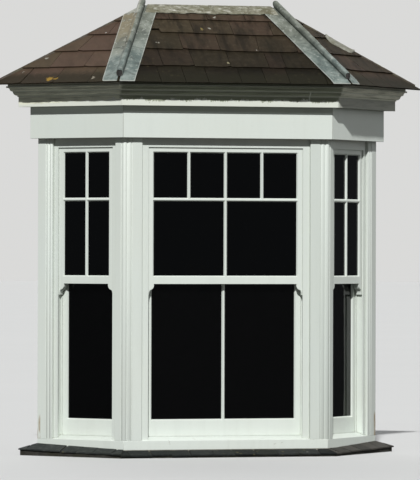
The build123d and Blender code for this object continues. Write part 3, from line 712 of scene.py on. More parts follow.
@dataclass(frozen=True)
class OldMortar(Finish):
    """Lime mortar, rough, with moss and pale blotches."""

    pale: Colour = (0.36, 0.36, 0.31)
    grey: Colour = (0.19, 0.185, 0.14)
    moss: Colour = (0.11, 0.105, 0.055)
    lime: Colour = (0.60, 0.60, 0.53)
    sand: Colour = (0.05, 0.045, 0.03)
    crevice: Colour = (0.03, 0.032, 0.02)
    moss_amount: float = 0.8
    lime_amount: float = 0.0
    pits: float = 0.004

    def draw(self, graph: Graph) -> None:
        """Layer lumps, moss, lime, sand and pits.

        Args:
            graph: The material's tree.
        """
        place = graph.coordinates()
        sand = graph.noise(place, 210.0, 5.0, 0.75)
        lumps = graph.noise(place, 24.0, 7.0, 0.65)
        washed = graph.noise(graph.stretched(place, (1.0, 2.4, 2.4)), 20.0, 8.0, 0.66)
        colour = graph.layers(
            self.grey,
            (self.pale, graph.step(lumps, 0.34, 0.68)),
            (self.moss, graph.patches(9.0, 0.46, 0.62), self.moss_amount),
            (self.lime, graph.step(washed, 0.50, 0.68), self.lime_amount),
        )
        colour = graph.layers(
            colour,
            (graph.blend(0.5, colour, self.sand), sand, 0.3),
            # Darkening in crevices: painted shade.
            (self.crevice, graph.shaded_and_grimed(0.02, 0.7)),
        )
        relief = graph.bump(sand, 0.7, 0.0012, graph.bump(lumps, 0.8, self.pits))
        graph.surface(colour, graph.scaled(sand, 0.15, 0.82), Normal=relief)


@dataclass(frozen=True)
class RoomShadeGlass(Finish):
    """Old sheet glass tinted nearly black, as painted shade for the unlit room behind it."""

    # Near-black tint: painted shade of the room behind the panes.
    tint: Colour = (0.006, 0.0065, 0.007)
    dust: Colour = (0.22, 0.22, 0.19)

    def draw(self, graph: Graph) -> None:
        """Set the glass and give it the slow waves of drawn sheet.

        Args:
            graph: The material's tree.
        """
        film = graph.times(graph.patches(6.0, 0.5, 0.85), 0.25)
        veil = graph.times(graph.plus(film, graph.shaded_and_grimed(0.03, 0.5, 20.0)), 0.035)
        waves = graph.noise(graph.stretched(graph.coordinates(), (3.0, 3.0, 1.2)), 1.6, 2.0)
        graph.surface(
            graph.blend(veil, self.tint, self.dust), graph.scaled(veil, 0.8, 0.03),
            Normal=graph.bump(waves, 0.25, 0.006), Transmission_Weight=0.9, IOR=1.46,
            Specular_IOR_Level=0.14,
        )


@dataclass(frozen=True)
class AgedBrass(Finish):
    """Lacquered brass, brown in its corners."""

    bright: Colour = (0.72, 0.52, 0.22)
    brown: Colour = (0.20, 0.13, 0.06)
    rubbed: Colour = (0.86, 0.68, 0.34)

    def draw(self, graph: Graph) -> None:
        """Layer tarnish over brass.

        Args:
            graph: The material's tree.
        """
        place = graph.coordinates()
        cloud = graph.noise(place, 90.0, 6.0)
        colour = graph.layers(
            self.bright,
            (self.brown, graph.step(cloud, 0.45, 0.7)),
            (self.brown, graph.shaded_and_grimed(0.006, 0.9, 60.0)),
            (self.rubbed, graph.worn(0.0012, 0.8)),
        )
        relief = graph.bump(graph.noise(place, 700.0, 3.0), 0.12, 0.0003)
        graph.surface(colour, graph.scaled(cloud, 0.3, 0.18), Normal=relief, Metallic=1.0)


@dataclass(frozen=True)
class SawnTimber(Finish):
    """Sawn softwood with growth rings, saw marks and dust."""

    brush: Brush = Brush.LEVEL
    early: Colour = (0.46, 0.31, 0.17)
    late: Colour = (0.24, 0.135, 0.062)
    dirt_and_shade: Colour = (0.09, 0.07, 0.05)
    dust: Colour = (0.33, 0.29, 0.24)

    def draw(self, graph: Graph) -> None:
        """Layer rings, saw marks, painted shade with soiling in corners, and dust.

        Args:
            graph: The material's tree.
        """
        place = graph.coordinates()
        slow = graph.stretched(place, tuple(factor * 0.3 for factor in self.brush.value))
        bands = graph.calc("FRACT", graph.times(graph.noise(slow, 1.0, 3.0, 0.4), 9.0))
        fibre = graph.noise(graph.stretched(place, self.brush.value), 2.5, 6.0)
        colour = graph.layers(
            self.early,
            (self.late, graph.step(bands, 0.55, 0.98)),
            (self.late, fibre, 0.35),
            # Darkening in corners: painted shade, partly soiling.
            (self.dirt_and_shade, graph.shaded_and_grimed(0.08, 0.8, 6.0)),
            (self.dust, graph.patches(4.0, 0.5, 0.8), 0.35),
        )
        graph.surface(colour, graph.scaled(fibre, 0.2, 0.62), Normal=graph.bump(fibre, 0.6, 0.0012))


@dataclass(frozen=True)
class StageFloor(Finish):
    """Pale seamless floor, darker where it only throws light on the bay."""

    seen: tuple[Colour, Colour] = ((0.645, 0.648, 0.64), (0.675, 0.678, 0.67))
    lighting: Colour = (0.11, 0.11, 0.105)
    mirrored: Colour = (0.035, 0.036, 0.038)

    def draw(self, graph: Graph) -> None:
        """Keep the floor pale, with the faintest drift.

        Args:
            graph: The material's tree.
        """
        seen = graph.blend(graph.noise(graph.coordinates(), 0.4, 3.0), *self.seen)
        rays = graph.add("LightPath").outputs
        lighting = graph.blend(rays["Is Glossy Ray"], self.lighting, self.mirrored)
        colour = graph.blend(rays["Is Camera Ray"], lighting, seen)
        graph.surface(colour, 0.9, Specular_IOR_Level=0.1)


POST_PAINT = OldPaint("Post paint", clean=(0.69, 0.745, 0.70), warm=(0.685, 0.725, 0.655))
FOOT_PAINT = OldPaint("Wall post paint", rust_top=0.30)
# Darker copies of the post paints for the right-hand posts: painted shade.
SHADED_POST_PAINT = OldPaint("Post paint in painted shade", clean=(0.635, 0.69, 0.645), warm=(0.63, 0.67, 0.605))
SHADED_FOOT_PAINT = OldPaint(
    "Wall post paint in painted shade", clean=(0.65, 0.70, 0.66), warm=(0.645, 0.68, 0.62), rust_top=0.30
)
SASH_PAINT = OldPaint("Sash paint", shade_and_grime=0.5)
SILL_PAINT = OldPaint("Sill paint", brush=Brush.LEVEL, runs=0.06, flakes=0.25, shade_and_grime=0.6)
FRIEZE_PAINT = OldPaint("Frieze paint", brush=Brush.LEVEL, runs=0.03, seam=0.7516)
INNER_PAINT = OldPaint("Room paint", brush=Brush.LEVEL, runs=0.0, warm=(0.68, 0.66, 0.58), shade_and_grime=0.5)
CORNICE_PAINT = WeatheredPaint("Weathered cornice paint")
YELLOW_LICHEN = (0.33, 0.205, 0.035)
OCHRE_LICHEN = (0.22, 0.175, 0.065)
PALE_LICHEN = (0.36, 0.35, 0.30)
DROPPING = (0.34, 0.31, 0.24)
OLIVE_LICHEN = (0.28, 0.26, 0.16)
# Centre, radius and paint of each mark
ROOF_MARKS = (
    ((-1.219, 0.061, 2.624), 0.034, YELLOW_LICHEN),
    ((-1.180, 0.030, 2.622), 0.018, YELLOW_LICHEN),
    ((-0.111, 0.142, 2.987), 0.015, OCHRE_LICHEN),
    ((-0.462, 0.005, 2.884), 0.014, PALE_LICHEN),
    ((-0.050, 0.153, 2.996), 0.014, PALE_LICHEN),
    ((0.016, 0.265, 3.080), 0.012, PALE_LICHEN),
    ((-0.009, -0.191, 2.736), 0.015, OLIVE_LICHEN),
    ((0.235, -0.059, 2.836), 0.010, PALE_LICHEN),
    ((-0.970, -0.182, 2.627), 0.015, DROPPING),
    ((-1.353, 0.312, 2.684), 0.012, PALE_LICHEN),
    ((-1.188, 0.327, 2.776), 0.013, PALE_LICHEN),
    ((-0.970, 0.153, 2.800), 0.011, PALE_LICHEN),
)
ROOF_SLATE = RivenSlate("Roof slate", marks=ROOF_MARKS)
LEDGE_SLATE = RivenSlate(
    "Ledge slate", dark=(0.010, 0.012, 0.0115), brown=(0.034, 0.038, 0.036), pale=(0.090, 0.096, 0.088),
    sunny_dark=(0.050, 0.047, 0.041), sunny_brown=(0.105, 0.096, 0.083), moss=(0.030, 0.034, 0.018),
    tinting=0.0, eave_level=-1.0, stain_amount=0.3, sunny_wash=0.0, pale_amount=0.6, lichen_amount=0.3,
    dropping_amount=0.3,
)
LEAD = OldLead("Old lead")
TOP_MORTAR = OldMortar(
    "Top mortar", pale=(0.27, 0.262, 0.198), grey=(0.130, 0.122, 0.080), moss_amount=0.6, lime_amount=0.75
)
SIDE_MORTAR = OldMortar(
    "Side mortar", pale=(0.085, 0.068, 0.054), grey=(0.042, 0.033, 0.025), moss_amount=0.4
)
LUMP_MORTAR = OldMortar(
    "Mortar lump", pale=(0.34, 0.34, 0.29), grey=(0.20, 0.195, 0.155), moss_amount=0.4
)
# Bed mortar painted nearly black: painted shade in the gap under the ledge slates.
BED_MORTAR = OldMortar(
    "Bed mortar", pale=(0.045, 0.043, 0.036), grey=(0.016, 0.015, 0.012), moss=(0.02, 0.02, 0.01)
)
MASONRY = OldMortar(
    "Rendered plinth", pale=(0.36, 0.34, 0.29), grey=(0.25, 0.235, 0.20), moss_amount=0.25, pits=0.002
)
GLASS = RoomShadeGlass("Window glass")
BRASS = AgedBrass("Aged brass")
LEVEL_TIMBER = SawnTimber("Sawn timber")
SLOPE_TIMBER = SawnTimber("Rafter timber", brush=Brush.INWARD, early=(0.42, 0.29, 0.17))
# Board timber painted nearly black: painted shade under the eave slates.
SHADE_DARK_EAVE_TIMBER = SawnTimber(
    "Board timber painted dark as shade", early=(0.060, 0.048, 0.036), late=(0.022, 0.018, 0.013),
    dust=(0.07, 0.065, 0.055),
)
# Roll timber painted nearly black: painted shade in the open end of the hip roll.
ROLL_TIMBER = SawnTimber(
    "Roll timber", early=(0.030, 0.028, 0.025), late=(0.012, 0.011, 0.010), dust=(0.05, 0.05, 0.046)
)

# Plan and slopes

UP = Vector((0.0, 0.0, 1.0)).freeze()
INWARD = Vector((0.0, 1.0, 0.0)).freeze()


def turned_to(vector: Vector, way: Vector) -> Vector:
    """The vector, or its opposite where it points away from a way."""
    return -vector if vector.dot(way) < 0 else vector


class Side(Enum):
    """Sides of the bay, each with the sign of its cant."""

    FRONT = 0
    RIGHT = 1
    LEFT = -1

    @property
    def word(self) -> str:
        """The side's word in node names."""
        return self.name.lower()


RIGHT_SLOPES = (Side.FRONT, Side.RIGHT)


@dataclass(frozen=True)
class Bay:
    """Plan of the bay, read from the construction."""

    half_front: float
    front_y: float
    wall_y: float
    cant: float = radians(45)

    @classmethod
    def read(cls) -> "Bay":
        """Read the plan from the sill and the wall post."""
        low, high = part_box("sill_front")
        return cls(high.x, low.y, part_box("wall_post_right")[1].y)

    @property
    def projection(self) -> float:
        """Distance from the wall to the front."""
        return self.wall_y - self.front_y

    @property
    def cant_length(self) -> float:
        """Length of a cant on the faces of the posts."""
        return self.projection / sin(self.cant)

    @property
    def wall_plane(self) -> Plane:
        """Point and normal of the house wall, the normal into the wall."""
        return Vector((0.0, self.wall_y, 0.0)), INWARD

    def outward(self, side: Side) -> Vector:
        """Level unit vector out of a side."""
        turn = side.value * self.cant
        return Vector((sin(turn), -cos(turn), 0.0))

    def along(self, side: Side) -> Vector:
        """Level unit vector along a side, to the right as seen from outside."""
        out = self.outward(side)
        return Vector((-out.y, out.x, 0.0))

    def middle(self, side: Side, offset: float, level: float = 0.0) -> Vector:
        """Middle of a side at an offset.

        Args:
            side: The side.
            offset: Distance outward from the faces of the posts.
            level: Height.

        Returns:
            The point.
        """
        if side is Side.FRONT:
            return Vector((0.0, self.front_y - offset, level))
        half = self.cant_length / 2
        x = self.half_front + half * cos(self.cant)
        base = Vector((side.value * x, self.front_y + half * sin(self.cant), level))
        return base + self.outward(side) * offset

    def plane(self, side: Side, offset: float) -> Plane:
        """Point and normal of the upright plane at an offset from a side."""
        return self.middle(side, offset), self.outward(side)

    def past(self, side: Side, offset: float, point: Vector) -> float:
        """Distance of a point past the upright plane at an offset from a side."""
        base, out = self.plane(side, offset)
        return (point - base).dot(out)

    def corner(self, side: Side, offset: float = 0.0, level: float = 0.0) -> Vector:
        """Front corner beside a cant at an offset.

        Args:
            side: The cant.
            offset: Distance outward from the faces of the posts.
            level: Height.

        Returns:
            The point.
        """
        x = self.half_front + offset * tan(self.cant / 2)
        return Vector((side.value * x, self.front_y - offset, level))

    def mitre(self, side: Side) -> Vector:
        """Level normal of the mitre beside a cant, towards the cant."""
        outer = self.corner(side, 1.0) - self.corner(side)
        return Vector((-outer.y, outer.x, 0.0)).normalized() * side.value

    def ends(self, side: Side, gap: float, point: Callable, normal: Callable) -> list[Plane]:
        """Planes that cut a side at the wall and at the sides next to it.

        Args:
            side: The side.
            gap: Distance to keep from the sides next to it.
            point: Gives a point on the plane beside a cant.
            normal: Gives that plane's level normal, towards the cant.

        Returns:
            The planes, their normals towards what goes.
        """
        planes = [self.wall_plane]
        for cant in (Side.LEFT, Side.RIGHT) if side is Side.FRONT else (side,):
            towards = normal(cant) if side is Side.FRONT else -normal(cant)
            planes.append((point(cant) - towards * gap, towards))
        return planes


@dataclass(frozen=True)
class Roof:
    """Slopes of the roof, from the same values as the construction."""

    bay: Bay
    front_pitch: float = radians(37.1)
    hip_top_x: float = 0.492
    foot_level: float = 2.610
    eave_reach: float = 0.225
    deck: float = 0.018
    slate: float = 0.009
    eave_gauges: tuple = (0.166, 0.201, 0.207)
    upper_gauge: float = 0.172

    @property
    def cornice_reach(self) -> float:
        """Reach of the cornice's top edge."""
        return self.bay.front_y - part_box("cornice_front")[0].y

    @property
    def rise(self) -> float:
        """Rise of the front slope from the cornice to the wall."""
        return (self.bay.projection + self.cornice_reach) * tan(self.front_pitch)

    @property
    def tail_height(self) -> float:
        """Height of a slate's tail over the roof's own plane."""
        return self.deck + 2 * self.slate

    def pitch(self, side: Side) -> float:
        """Pitch of a slope."""
        return self.front_pitch if side is Side.FRONT else atan(self.rise / self.run(side))

    def run(self, side: Side) -> float:
        """Level distance from the cornice edge to the top of the hips.

        Args:
            side: The slope.

        Returns:
            The distance.
        """
        if side is Side.FRONT:
            return self.bay.projection + self.cornice_reach
        foot = self.bay.corner(Side.RIGHT, self.cornice_reach)
        across = (foot.x - self.hip_top_x) * sin(self.bay.cant)
        return across + (self.bay.wall_y - foot.y) * cos(self.bay.cant)

    def hip_top(self, side: Side) -> Vector:
        """Top of the hip beside a cant."""
        return Vector((side.value * self.hip_top_x, self.bay.wall_y, self.foot_level + self.rise))

    def hip_foot(self, side: Side) -> Vector:
        """Foot of the hip on the cornice edge."""
        return self.bay.corner(side, self.cornice_reach, self.foot_level)

    def hip_normal(self, side: Side) -> Vector:
        """Level normal of the hip's upright plane, towards the cant."""
        run = self.hip_top(side) - self.hip_foot(side)
        return Vector((run.y, -run.x, 0.0)).normalized() * side.value

    def tails(self, side: Side) -> list[float]:
        """Places of the tails up a slope.

        Args:
            side: The slope.

        Returns:
            Distances from the cornice edge.
        """
        pitch = self.pitch(side)
        places = [-(self.eave_reach - self.cornice_reach) / cos(pitch) + self.tail_height * tan(pitch)]
        for gauge in self.eave_gauges:
            places.append(places[-1] + gauge)
        while places[-1] < self.run(side) / cos(pitch):
            places.append(places[-1] + self.upper_gauge)
        return places

    def matrix(self, side: Side) -> Matrix:
        """Frame of a slope: along the eave, up the slope and out of it.

        Args:
            side: The slope.

        Returns:
            The frame.
        """
        pitch = self.pitch(side)
        along = self.bay.along(side)
        up = self.bay.outward(side) * -cos(pitch) + Vector((0.0, 0.0, sin(pitch)))
        origin = self.bay.middle(side, self.cornice_reach, self.foot_level)
        turned = Matrix((along, up, along.cross(up))).transposed()
        return Matrix.Translation(origin) @ turned.to_4x4()

    def normal(self, side: Side) -> Vector:
        """Unit vector out of a slope."""
        return self.matrix(side).to_3x3() @ UP


# Mesh tools

WELD = 2e-5
FLAT = radians(0.4)
CURVED = radians(1)


def of_kind(parts: Iterable, kind: type) -> list:
    """The parts of one kind."""
    return [part for part in parts if isinstance(part, kind)]


def cut_away(mesh: bmesh.types.BMesh, point: Vector, normal: Vector) -> None:
    """Cut off what lies in front of a plane and close the cut.

    Args:
        mesh: The closed mesh.
        point: A point on the plane.
        normal: The plane's normal, towards what goes.
    """
    parts: dict = {}
    for face in mesh.faces:
        parts.update(dict.fromkeys((face, *face.edges, *face.verts)))
    result = bmesh.ops.bisect_plane(
        mesh, geom=list(parts), plane_co=point, plane_no=normal, clear_outer=True
    )
    rim = [edge for edge in of_kind(result["geom_cut"], bmesh.types.BMEdge) if edge.is_boundary]
    if rim:
        bmesh.ops.holes_fill(mesh, edges=rim, sides=0)


def cut_at(mesh: bmesh.types.BMesh, planes: Iterable[Plane]) -> None:
    """Cut a closed mesh at each plane that it crosses.

    Args:
        mesh: The mesh.
        planes: Points and normals, the normals towards what goes.
    """
    for point, normal in planes:
        if any((corner.co - point).dot(normal) > 0 for corner in mesh.verts):
            cut_away(mesh, point, normal)


def merge_into(whole: bmesh.types.BMesh, part: bmesh.types.BMesh) -> None:
    """Add a finished part to a larger mesh and free it.

    Args:
        whole: The larger mesh.
        part: The finished part.
    """
    bmesh.ops.recalc_face_normals(part, faces=part.faces[:])
    data = bpy.data.meshes.new("part")
    part.to_mesh(data)
    part.free()
    whole.from_mesh(data)
    bpy.data.meshes.remove(data)


def sheet_block(columns: int, rows: int) -> bmesh.types.BMesh:
    """Closed block, a grid on top and below, one wide, long and thick.

    Args:
        columns: Faces across.
        rows: Faces along.

    Returns:
        The new mesh, its top at nought.
    """
    mesh = bmesh.new()
    bmesh.ops.create_grid(mesh, x_segments=columns, y_segments=rows, size=0.5)
    bmesh.ops.solidify(mesh, geom=mesh.faces[:], thickness=1.0)
    return mesh


def shares(corner: bmesh.types.BMVert) -> tuple[float, float, float]:
    """Shares of a block's width, length and thickness at one of its corners."""
    return corner.co.x + 0.5, corner.co.y + 0.5, -corner.co.z


def mirror(mesh: bmesh.types.BMesh) -> None:
    """Mirror a mesh from one side of the bay to the other."""
    bmesh.ops.scale(mesh, vec=(-1.0, 1.0, 1.0), verts=mesh.verts[:])


def at_or(values: tuple, place: int, other: float = 0.0) -> float:
    """The value at a place, or another past the last."""
    return values[place] if place < len(values) else other


def toned_mesh() -> bmesh.types.BMesh:
    """New mesh with a layer for the tone attribute.

    Returns:
        The mesh.
    """
    mesh = bmesh.new()
    mesh.loops.layers.float_color.new("tone")
    return mesh


def paint_tone(mesh: bmesh.types.BMesh, tone: tuple) -> None:
    """Give every corner of a mesh one value of the tone attribute.

    Args:
        mesh: The mesh.
        tone: The value.
    """
    layer = mesh.loops.layers.float_color.new("tone")
    for face in mesh.faces:
        for loop in face.loops:
            loop[layer] = tone


def finish_mesh(
    name: str, mesh: bmesh.types.BMesh, smooth: float = radians(35), flats: bool = False
) -> bpy.types.Object:
    """Turn a mesh under construction into an object at the origin.

    Args:
        name: Name of the piece.
        mesh: The mesh, which is freed.
        smooth: Edges sharper than this stay sharp.
        flats: Whether faces marked as flat keep their own normals.

    Returns:
        The new object.
    """
    rounded = [face.smooth or not flats for face in mesh.faces]
    data = bpy.data.meshes.new(name)
    mesh.to_mesh(data)
    mesh.free()
    data.shade_smooth()
    data.set_sharp_from_angle(angle=smooth)
    data.polygons.foreach_set("use_smooth", rounded)
    stale = data.attributes.get("custom_normal")
    if stale:
        data.attributes.remove(stale)
    piece = bpy.data.objects.new(name, data)
    bpy.context.scene.collection.objects.link(piece)
    return piece


def install(piece: bpy.types.Object, finish: Finish, slot: str, *nodes: str) -> None:
    """Give a piece its finish and its place in the model.

    Args:
        piece: The new piece.
        finish: Its finish.
        slot: The record's material slot; not used.
        nodes: Nodes that the piece stands for.
    """
    piece.data.materials.clear()
    piece.data.materials.append(finish.material())
    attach(piece, "root")
    if nodes:
        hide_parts(*nodes)
    LOG.info("%s: %d faces", piece.name, len(piece.data.polygons))


def softened(node: str, width: float, sharp: float = radians(28)) -> bpy.types.Object:
    """Copy a node with its corners rubbed round.

    Args:
        node: The construction node.
        width: Width of the rounding.
        sharp: Edges sharper than this are rounded.

    Returns:
        The copy.
    """
    mesh = bmesh.new()
    mesh.from_mesh(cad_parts[node].data)
    bmesh.ops.remove_doubles(mesh, verts=mesh.verts[:], dist=WELD)
    bmesh.ops.dissolve_limit(
        mesh, angle_limit=FLAT, verts=mesh.verts[:], edges=mesh.edges[:], delimit=set()
    )
    edges = [edge for edge in mesh.edges if edge.is_manifold and edge.calc_face_angle() > sharp]
    rounded = set(edges)
    for face in mesh.faces:
        face.smooth = any(
            edge.is_manifold and edge not in rounded and edge.calc_face_angle() > CURVED
            for edge in face.edges
        )
    made = bmesh.ops.bevel(
        mesh, geom=edges, offset=width, offset_type="OFFSET", affect="EDGES",
        segments=2, profile=0.5, material=-1, clamp_overlap=False,
    )
    for face in made["faces"]:
        face.smooth = True
    for layer in list(mesh.loops.layers.uv):
        mesh.loops.layers.uv.remove(layer)
    return finish_mesh(node + "_soft", mesh, flats=True)


# Sub-assemblies


@dataclass(frozen=True)
class Course:
    """A course of a slope.

    Its joints along the slope, their lean and their extra width, the fall of
    its tails to the right and the step of each slate.
    """

    joints: tuple
    leans: tuple = ()
    fall: float = 0.0
    steps: tuple = ()
    gaps: tuple = ()


COURSES = {
    Side.FRONT: (
        Course((-1.08, -0.80, -0.528, -0.352, -0.190, 0.045, 0.222, 0.392, 0.66, 0.94), fall=0.002),
        Course((-1.05, -0.765, -0.479, -0.256, 0.006, 0.280, 0.401, 0.62, 0.88), fall=0.011,
               steps=(0.0, 0.0, 0.006, -0.001, 0.001, 0.0, 0.003)),
        Course((-0.86, -0.574, -0.298, -0.030, 0.247, 0.528, 0.80), fall=0.024,
               leans=(0.0, 0.0, 0.006, 0.004, 0.022), steps=(0.0, 0.001, 0.006, -0.003, 0.0, 0.001)),
        Course((-0.74, -0.418, -0.177, 0.107, 0.394, 0.66), fall=0.020, leans=(0.0, -0.03),
               steps=(0.045, 0.004, 0.0, -0.004, 0.004)),
        Course((-0.62, -0.32, -0.045, 0.232, 0.52), fall=0.012),
    ),
    Side.RIGHT: (
        Course((-0.95, -0.66, -0.38, -0.10, 0.165, 0.45, 0.72), leans=(0.0, 0.0, 0.01, 0.0, -0.012)),
        Course((-0.82, -0.53, -0.24, 0.03, 0.32, 0.60), leans=(0.0, 0.012)),
        Course((-0.72, -0.40, -0.12, 0.17, 0.46, 0.74), leans=(0.0, -0.01, 0.008)),
        Course((-0.55, -0.27, 0.02, 0.30, 0.58)),
        Course((-0.42, -0.14, 0.15, 0.44)),
    ),
    Side.LEFT: (
        Course((-0.66, -0.358, -0.084, 0.198, 0.48, 0.76, 1.04), leans=(0.016, 0.020, 0.004, -0.009),
               gaps=(0.0, 0.006)),
        Course((-0.50, -0.204, 0.078, 0.355, 0.64, 0.90), leans=(0.0, -0.006, -0.018)),
        Course((-0.62, -0.35, -0.077, 0.198, 0.48, 0.76), leans=(0.0, 0.01, 0.03, 0.008)),
        Course((-0.48, -0.21, 0.07, 0.35, 0.62)),
        Course((-0.36, -0.08, 0.20, 0.48)),
    ),
}


@dataclass(frozen=True)
class Slates:
    """Courses of slates, cut slate by slate, on the three slopes."""

    roof: Roof
    joint: float = 0.003
    hip_gap: float = 0.008
    low_hip_gap: float = 0.0008
    head_lap: float = 0.035
    tail_chip: float = 0.005
    riven: float = 0.0006
    columns: int = 6
    rows: int = 5
    smooth: float = radians(30)
    tail_share: float = 0.01
    eave_overhang: float = 0.021
    eave_height: float = 0.030
    under_faces: int = 2
    under_half_run: float = 1.4
    under_width: float = 0.290
    under_spread: float = 0.02
    under_set_back: float = 0.004
    under_length: float = 0.150
    under_tail: float = 1.2
    under_tone: tuple = (0.0, 0.0, 0.3, 1.0)
    seed: int = 7
    seed_steps: tuple = (3.1, 5.3, 9.7)
    chip_waves: float = 5.0
    riven_waves: tuple = (3.0, 2.0)
    front_brown: tuple = (0.02, 0.23)
    cant_brown: tuple = (0.5, 0.1)
    brown_spread: tuple = (-0.10, 0.12)
    most_brown: float = 1.2
    liveliness: tuple = (0.2, 1.0)
    shift: float = 0.002
    most_lift: float = 0.0010
    clips: tuple = (0, 0, 0, 0, -1, 1)
    clip_depth: tuple = (0.006, 0.014)
    clip_width: float = 0.16
    edge: float = 0.9
    thinning: float = 0.25

    def build(self) -> None:
        """Build and dress the three slopes."""
        for side in COURSES:
            install(self.slope(side), ROOF_SLATE, "roof_slate", "roof_slates_" + side.word)

    def slope(self, side: Side) -> bpy.types.Object:
        """Lay the courses of one slope and join them into one piece.

        Args:
            side: The slope.

        Returns:
            The piece.
        """
        chance = Random(self.seed + side.value)
        mesh = toned_mesh()
        tails = self.roof.tails(side)
        self.undercourse(mesh, side, tails[0], chance)
        for number, course in enumerate(COURSES[side]):
            gap = self.hip_gap if number else self.low_hip_gap
            for place in range(len(course.joints) - 1):
                piece = self.slate(side, course, place, tails[number:number + 2], chance)
                self.place_in(mesh, piece, side, self.tone(side, number, chance), gap)
        return finish_mesh("slates_" + side.word, mesh, self.smooth)

    def undercourse(self, mesh: bmesh.types.BMesh, side: Side, start: float, chance: Random) -> None:
        """Lay the short slates under the eave course.

        Args:
            mesh: The slope's mesh.
            side: The slope.
            start: Place of the lowest tail.
            chance: Source of the small differences.
        """
        deck = self.roof.deck
        at = -self.under_half_run
        while at < self.under_half_run:
            wide = self.under_width + chance.uniform(-self.under_spread, self.under_spread)
            piece = sheet_block(self.under_faces, self.under_faces)
            for corner in piece.verts:
                a, b, depth = shares(corner)
                along = at + self.joint / 2 + (wide - self.joint) * a
                up = start - self.eave_overhang + self.under_set_back + self.under_length * b
                top = deck + (self.eave_height - self.roof.slate - deck) * (self.under_tail - b)
                corner.co = self.roof.matrix(side) @ Vector((along, up, top + (deck - top) * depth))
            self.place_in(mesh, piece, side, self.under_tone, self.low_hip_gap)
            at += wide

    def slate(
        self, side: Side, course: Course, place: int, tails: list[float], chance: Random
    ) -> bmesh.types.BMesh:
        """Make one slate.

        Args:
            side: The slope.
            course: Its course.
            place: Its number in the course.
            tails: Places of its own tail and the next course's up the slope.
            chance: Source of the small differences.

        Returns:
            The slate's mesh.
        """
        piece = sheet_block(self.columns, self.rows)
        tail, head = tails
        left, right = course.joints[place:place + 2]
        leans = [at_or(course.leans, at) for at in (place, place + 1)]
        if place < len(course.steps):
            step = course.steps[place]
        else:
            step = chance.uniform(-self.shift, self.shift)
        tail_top = self.roof.tail_height
        if tail < 0.0:
            tail -= self.eave_overhang
            tail_top = self.eave_height
        length = head - tail + self.head_lap
        fall = (tail_top - self.roof.deck - self.roof.slate) / (head - tail)
        seed = Vector([part * size for part, size in zip((left, tail, side.value), self.seed_steps)])
        lift = chance.uniform(0.0, self.most_lift)
        clipped = chance.choice(self.clips)
        clip = chance.uniform(*self.clip_depth)
        matrix = self.roof.matrix(side)
        for corner in piece.verts:
            a, b, depth = shares(corner)
            low = left + leans[0] * b + self.joint / 2 + at_or(course.gaps, place)
            high = right + leans[1] * b - self.joint / 2
            along = low + (high - low) * a
            ragged = abs(noise.noise(seed + Vector((a * self.chip_waves, 0.0, 0.0)))) * (1.0 - b) ** 4
            ragged *= self.tail_chip
            if clipped and b < self.tail_share:
                towards_clip = a if clipped > 0 else 1.0 - a
                ragged += clip * max(0.0, towards_clip - (1.0 - self.clip_width)) / self.clip_width
            up = tail - course.fall * along + step + length * b + ragged
            top = tail_top - lift * b - fall * length * b
            waves = Vector((a * self.riven_waves[0], b * self.riven_waves[1], 0.5))
            rough = self.riven * noise.noise(seed + waves)
            thick = self.roof.slate * (self.edge - self.thinning * b)
            corner.co = matrix @ Vector((along, up, top - self.riven - depth * thick + rough))
        return piece

    def place_in(
        self, mesh: bmesh.types.BMesh, piece: bmesh.types.BMesh, side: Side, tone: tuple, gap: float
    ) -> None:
        """Cut a slate at the hips and the wall, tone it and add it to its slope.

        Args:
            mesh: The slope's mesh.
            piece: The slate, which is freed.
            side: The slope.
            tone: Its tone.
            gap: Distance to the hip.
        """
        roof = self.roof
        cut_at(piece, roof.bay.ends(side, gap, roof.hip_foot, roof.hip_normal))
        if piece.faces:
            paint_tone(piece, tone)
            merge_into(mesh, piece)

    def tone(self, side: Side, course: int, chance: Random) -> tuple:
        """Choose the tone of a slate.

        Args:
            side: The slope.
            course: Number of its course.
            chance: Source of the small differences.

        Returns:
            Brownness, share of sun and liveliness, with an alpha.
        """
        base, rise = self.front_brown if side is Side.FRONT else self.cant_brown
        base += rise * (course if side is Side.FRONT else side.value)
        brown = min(self.most_brown, max(0.0, base + chance.uniform(*self.brown_spread)))
        return (brown, float(side is Side.LEFT), chance.uniform(*self.liveliness), 1.0)


